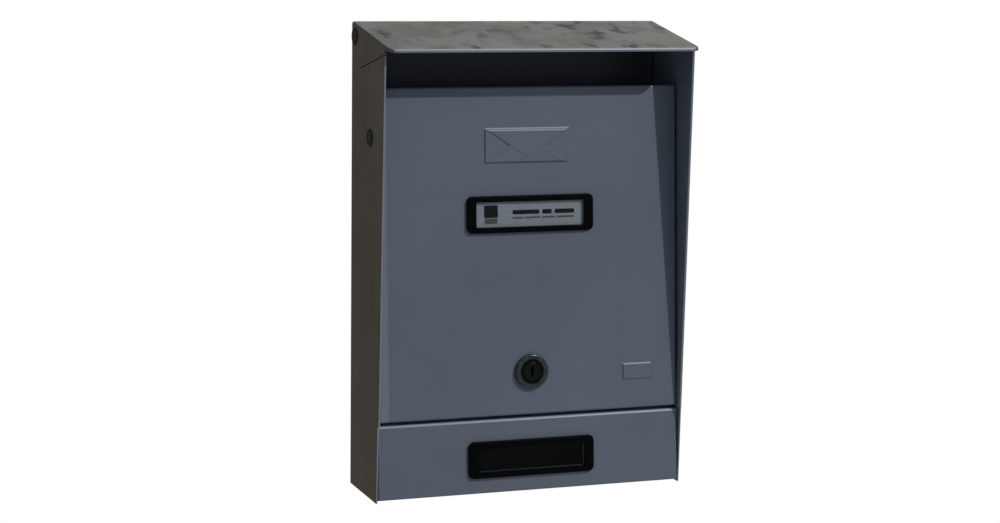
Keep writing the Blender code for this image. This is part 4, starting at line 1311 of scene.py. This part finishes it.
def snap_pin(name, side, axle, tip):
    """A pin whose head lies on the outside of one side wall."""
    outer = side * (half_width + HEAD_PLAY)
    head_top = outer + side * HEAD_RISE
    head = bar(name, PIN_HEAD_RADIUS, (outer, axle.y, axle.z), (head_top, axle.y, axle.z), 64)
    with edit(head):
        pick(head, "EDGE", lambda e: every(e, lambda p: abs(p.x) > abs(outer) + HEAD_RISE / 2))
        bpy.ops.mesh.bevel(offset=0.0003, segments=3, affect="EDGES")
        pick(head, "FACE", lambda f: f.normal.x * side > 0.99 and len(f.verts) > 20)
        bpy.ops.mesh.inset(thickness=0.0007)
        bpy.ops.mesh.inset(thickness=0.0003, depth=-0.0004)
        bpy.ops.mesh.inset(thickness=0.0003)
        bpy.ops.mesh.inset(thickness=0.0003, depth=0.0003)
    stem_end = side * tip
    root = outer + side * 0.0004
    stem = bar("stem", STEM_RADIUS, (root, axle.y, axle.z), (stem_end, axle.y, axle.z), 32)
    with edit(stem):
        for share in (0.45, BULB_SHARE):
            at = stem_end + (outer - stem_end) * share
            bpy.ops.mesh.select_all(action="SELECT")
            bpy.ops.mesh.bisect(plane_co=(at, 0, 0), plane_no=(1, 0, 0))
        at = stem_end + (outer - stem_end) * BULB_SHARE
        pick(stem, "VERT", lambda v: abs(v.co.x - at) < 0.0001)
        bulge = BULB_RADIUS / STEM_RADIUS
        bpy.ops.transform.resize(value=(1, bulge, bulge), center_override=(at, axle.y, axle.z))
        pick(stem, "VERT", lambda v: abs(v.co.x - stem_end) < 0.0001)
        bpy.ops.transform.resize(
            value=(1, TIP_TAPER, TIP_TAPER), center_override=(stem_end, axle.y, axle.z),
        )
    wall = side * (half_width - 0.0013)
    split_low, split_high = sorted((wall, stem_end - side * 0.001))
    combine(stem, block(
        "split",
        (split_low, axle.y - PIN_SPLIT, axle.z - 0.01),
        (split_high, axle.y + PIN_SPLIT, axle.z + 0.01),
    ))
    combine(head, stem, "UNION")
    return soften(head, 0.00012, 2, 40)


for kind, axle in (("hinge_pin", hinge), ("back_pin", Vector((0, back_pin.y, back_pin.z)))):
    for word, side in (("left", -1), ("right", 1)):
        low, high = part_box(f"{kind}_{word}")
        tip = min(abs(low.x), abs(high.x))
        pin = snap_pin(f"{kind}_{word}_moulding", side, axle, tip)
        done(pin, "box", "pin_plastic", pin_plastic, f"{kind}_{word}")

# %% [markdown]
# ## Fittings inside
# The lock's nut, washers, cam and screw, its wafers and the plastic retainers behind the sheet
# have their true shapes already. Each gets a copy that is welded to one skin and has its sharp
# edges broken, as tumbling or a mould's parting line leaves them.

# %% Broken edges
def tumble(node, body, slot, material, width):
    """A welded copy of a CAD piece, with its sharp edges broken by a width."""
    piece = bpy.data.objects[node].copy()
    piece.data = piece.data.copy()
    piece.name = f"{node}_finished"
    bpy.context.scene.collection.objects.link(piece)
    take(piece)
    bpy.ops.object.parent_clear(type="CLEAR_KEEP_TRANSFORM")
    bpy.ops.object.transform_apply(location=True, rotation=True, scale=True)
    with edit(piece):
        bpy.ops.mesh.select_all(action="SELECT")
        bpy.ops.mesh.remove_doubles(threshold=0.000002)
        bpy.ops.mesh.dissolve_limited(angle_limit=math.radians(1))
        bpy.ops.mesh.normals_make_consistent(inside=False)
    soften(piece, width, 2, 50)
    return done(piece, body, slot, material, node)


tumble("lock_nut", "door", "zinc", zinc_metal, 0.00025)
tumble("stop_washer", "plug", "zinc", zinc_metal, 0.00012)
tumble("lock_cam", "plug", "zinc", zinc_metal, 0.0002)
tumble("cam_washer", "plug", "zinc", zinc_metal, 0.0001)
tumble("cam_screw", "plug", "zinc", zinc_metal, 0.00015)
tumble("name_retainer", "door", "black_plastic", black_plastic, 0.00015)
tumble("window_retainer", "box", "black_plastic", black_plastic, 0.00015)
for number in range(1, 5):
    tumble(f"lock_wafer_{number}", "plug", "brass", brass_metal, 0.00005)

# %% [markdown]
# ## Clear sheets
# The cover of the name holder and the pane of the lower window are plain cut sheets. They stay
# as they are in the model, and only take their see-through finish. The pane's finish is dark, as
# painted shade for the box's inside behind it.

# %% Clear sheets
for node, material in (("name_window", cover_plastic), ("window_pane", shaded_pane_plastic)):
    sheet = bpy.data.objects[node]
    sheet.data.materials.clear()
    sheet.data.materials.append(material)
print(len(pieces), "pieces finished")

# %% [markdown]
# ## Sizes
# The finished surface must stay inside the CAD model's box.
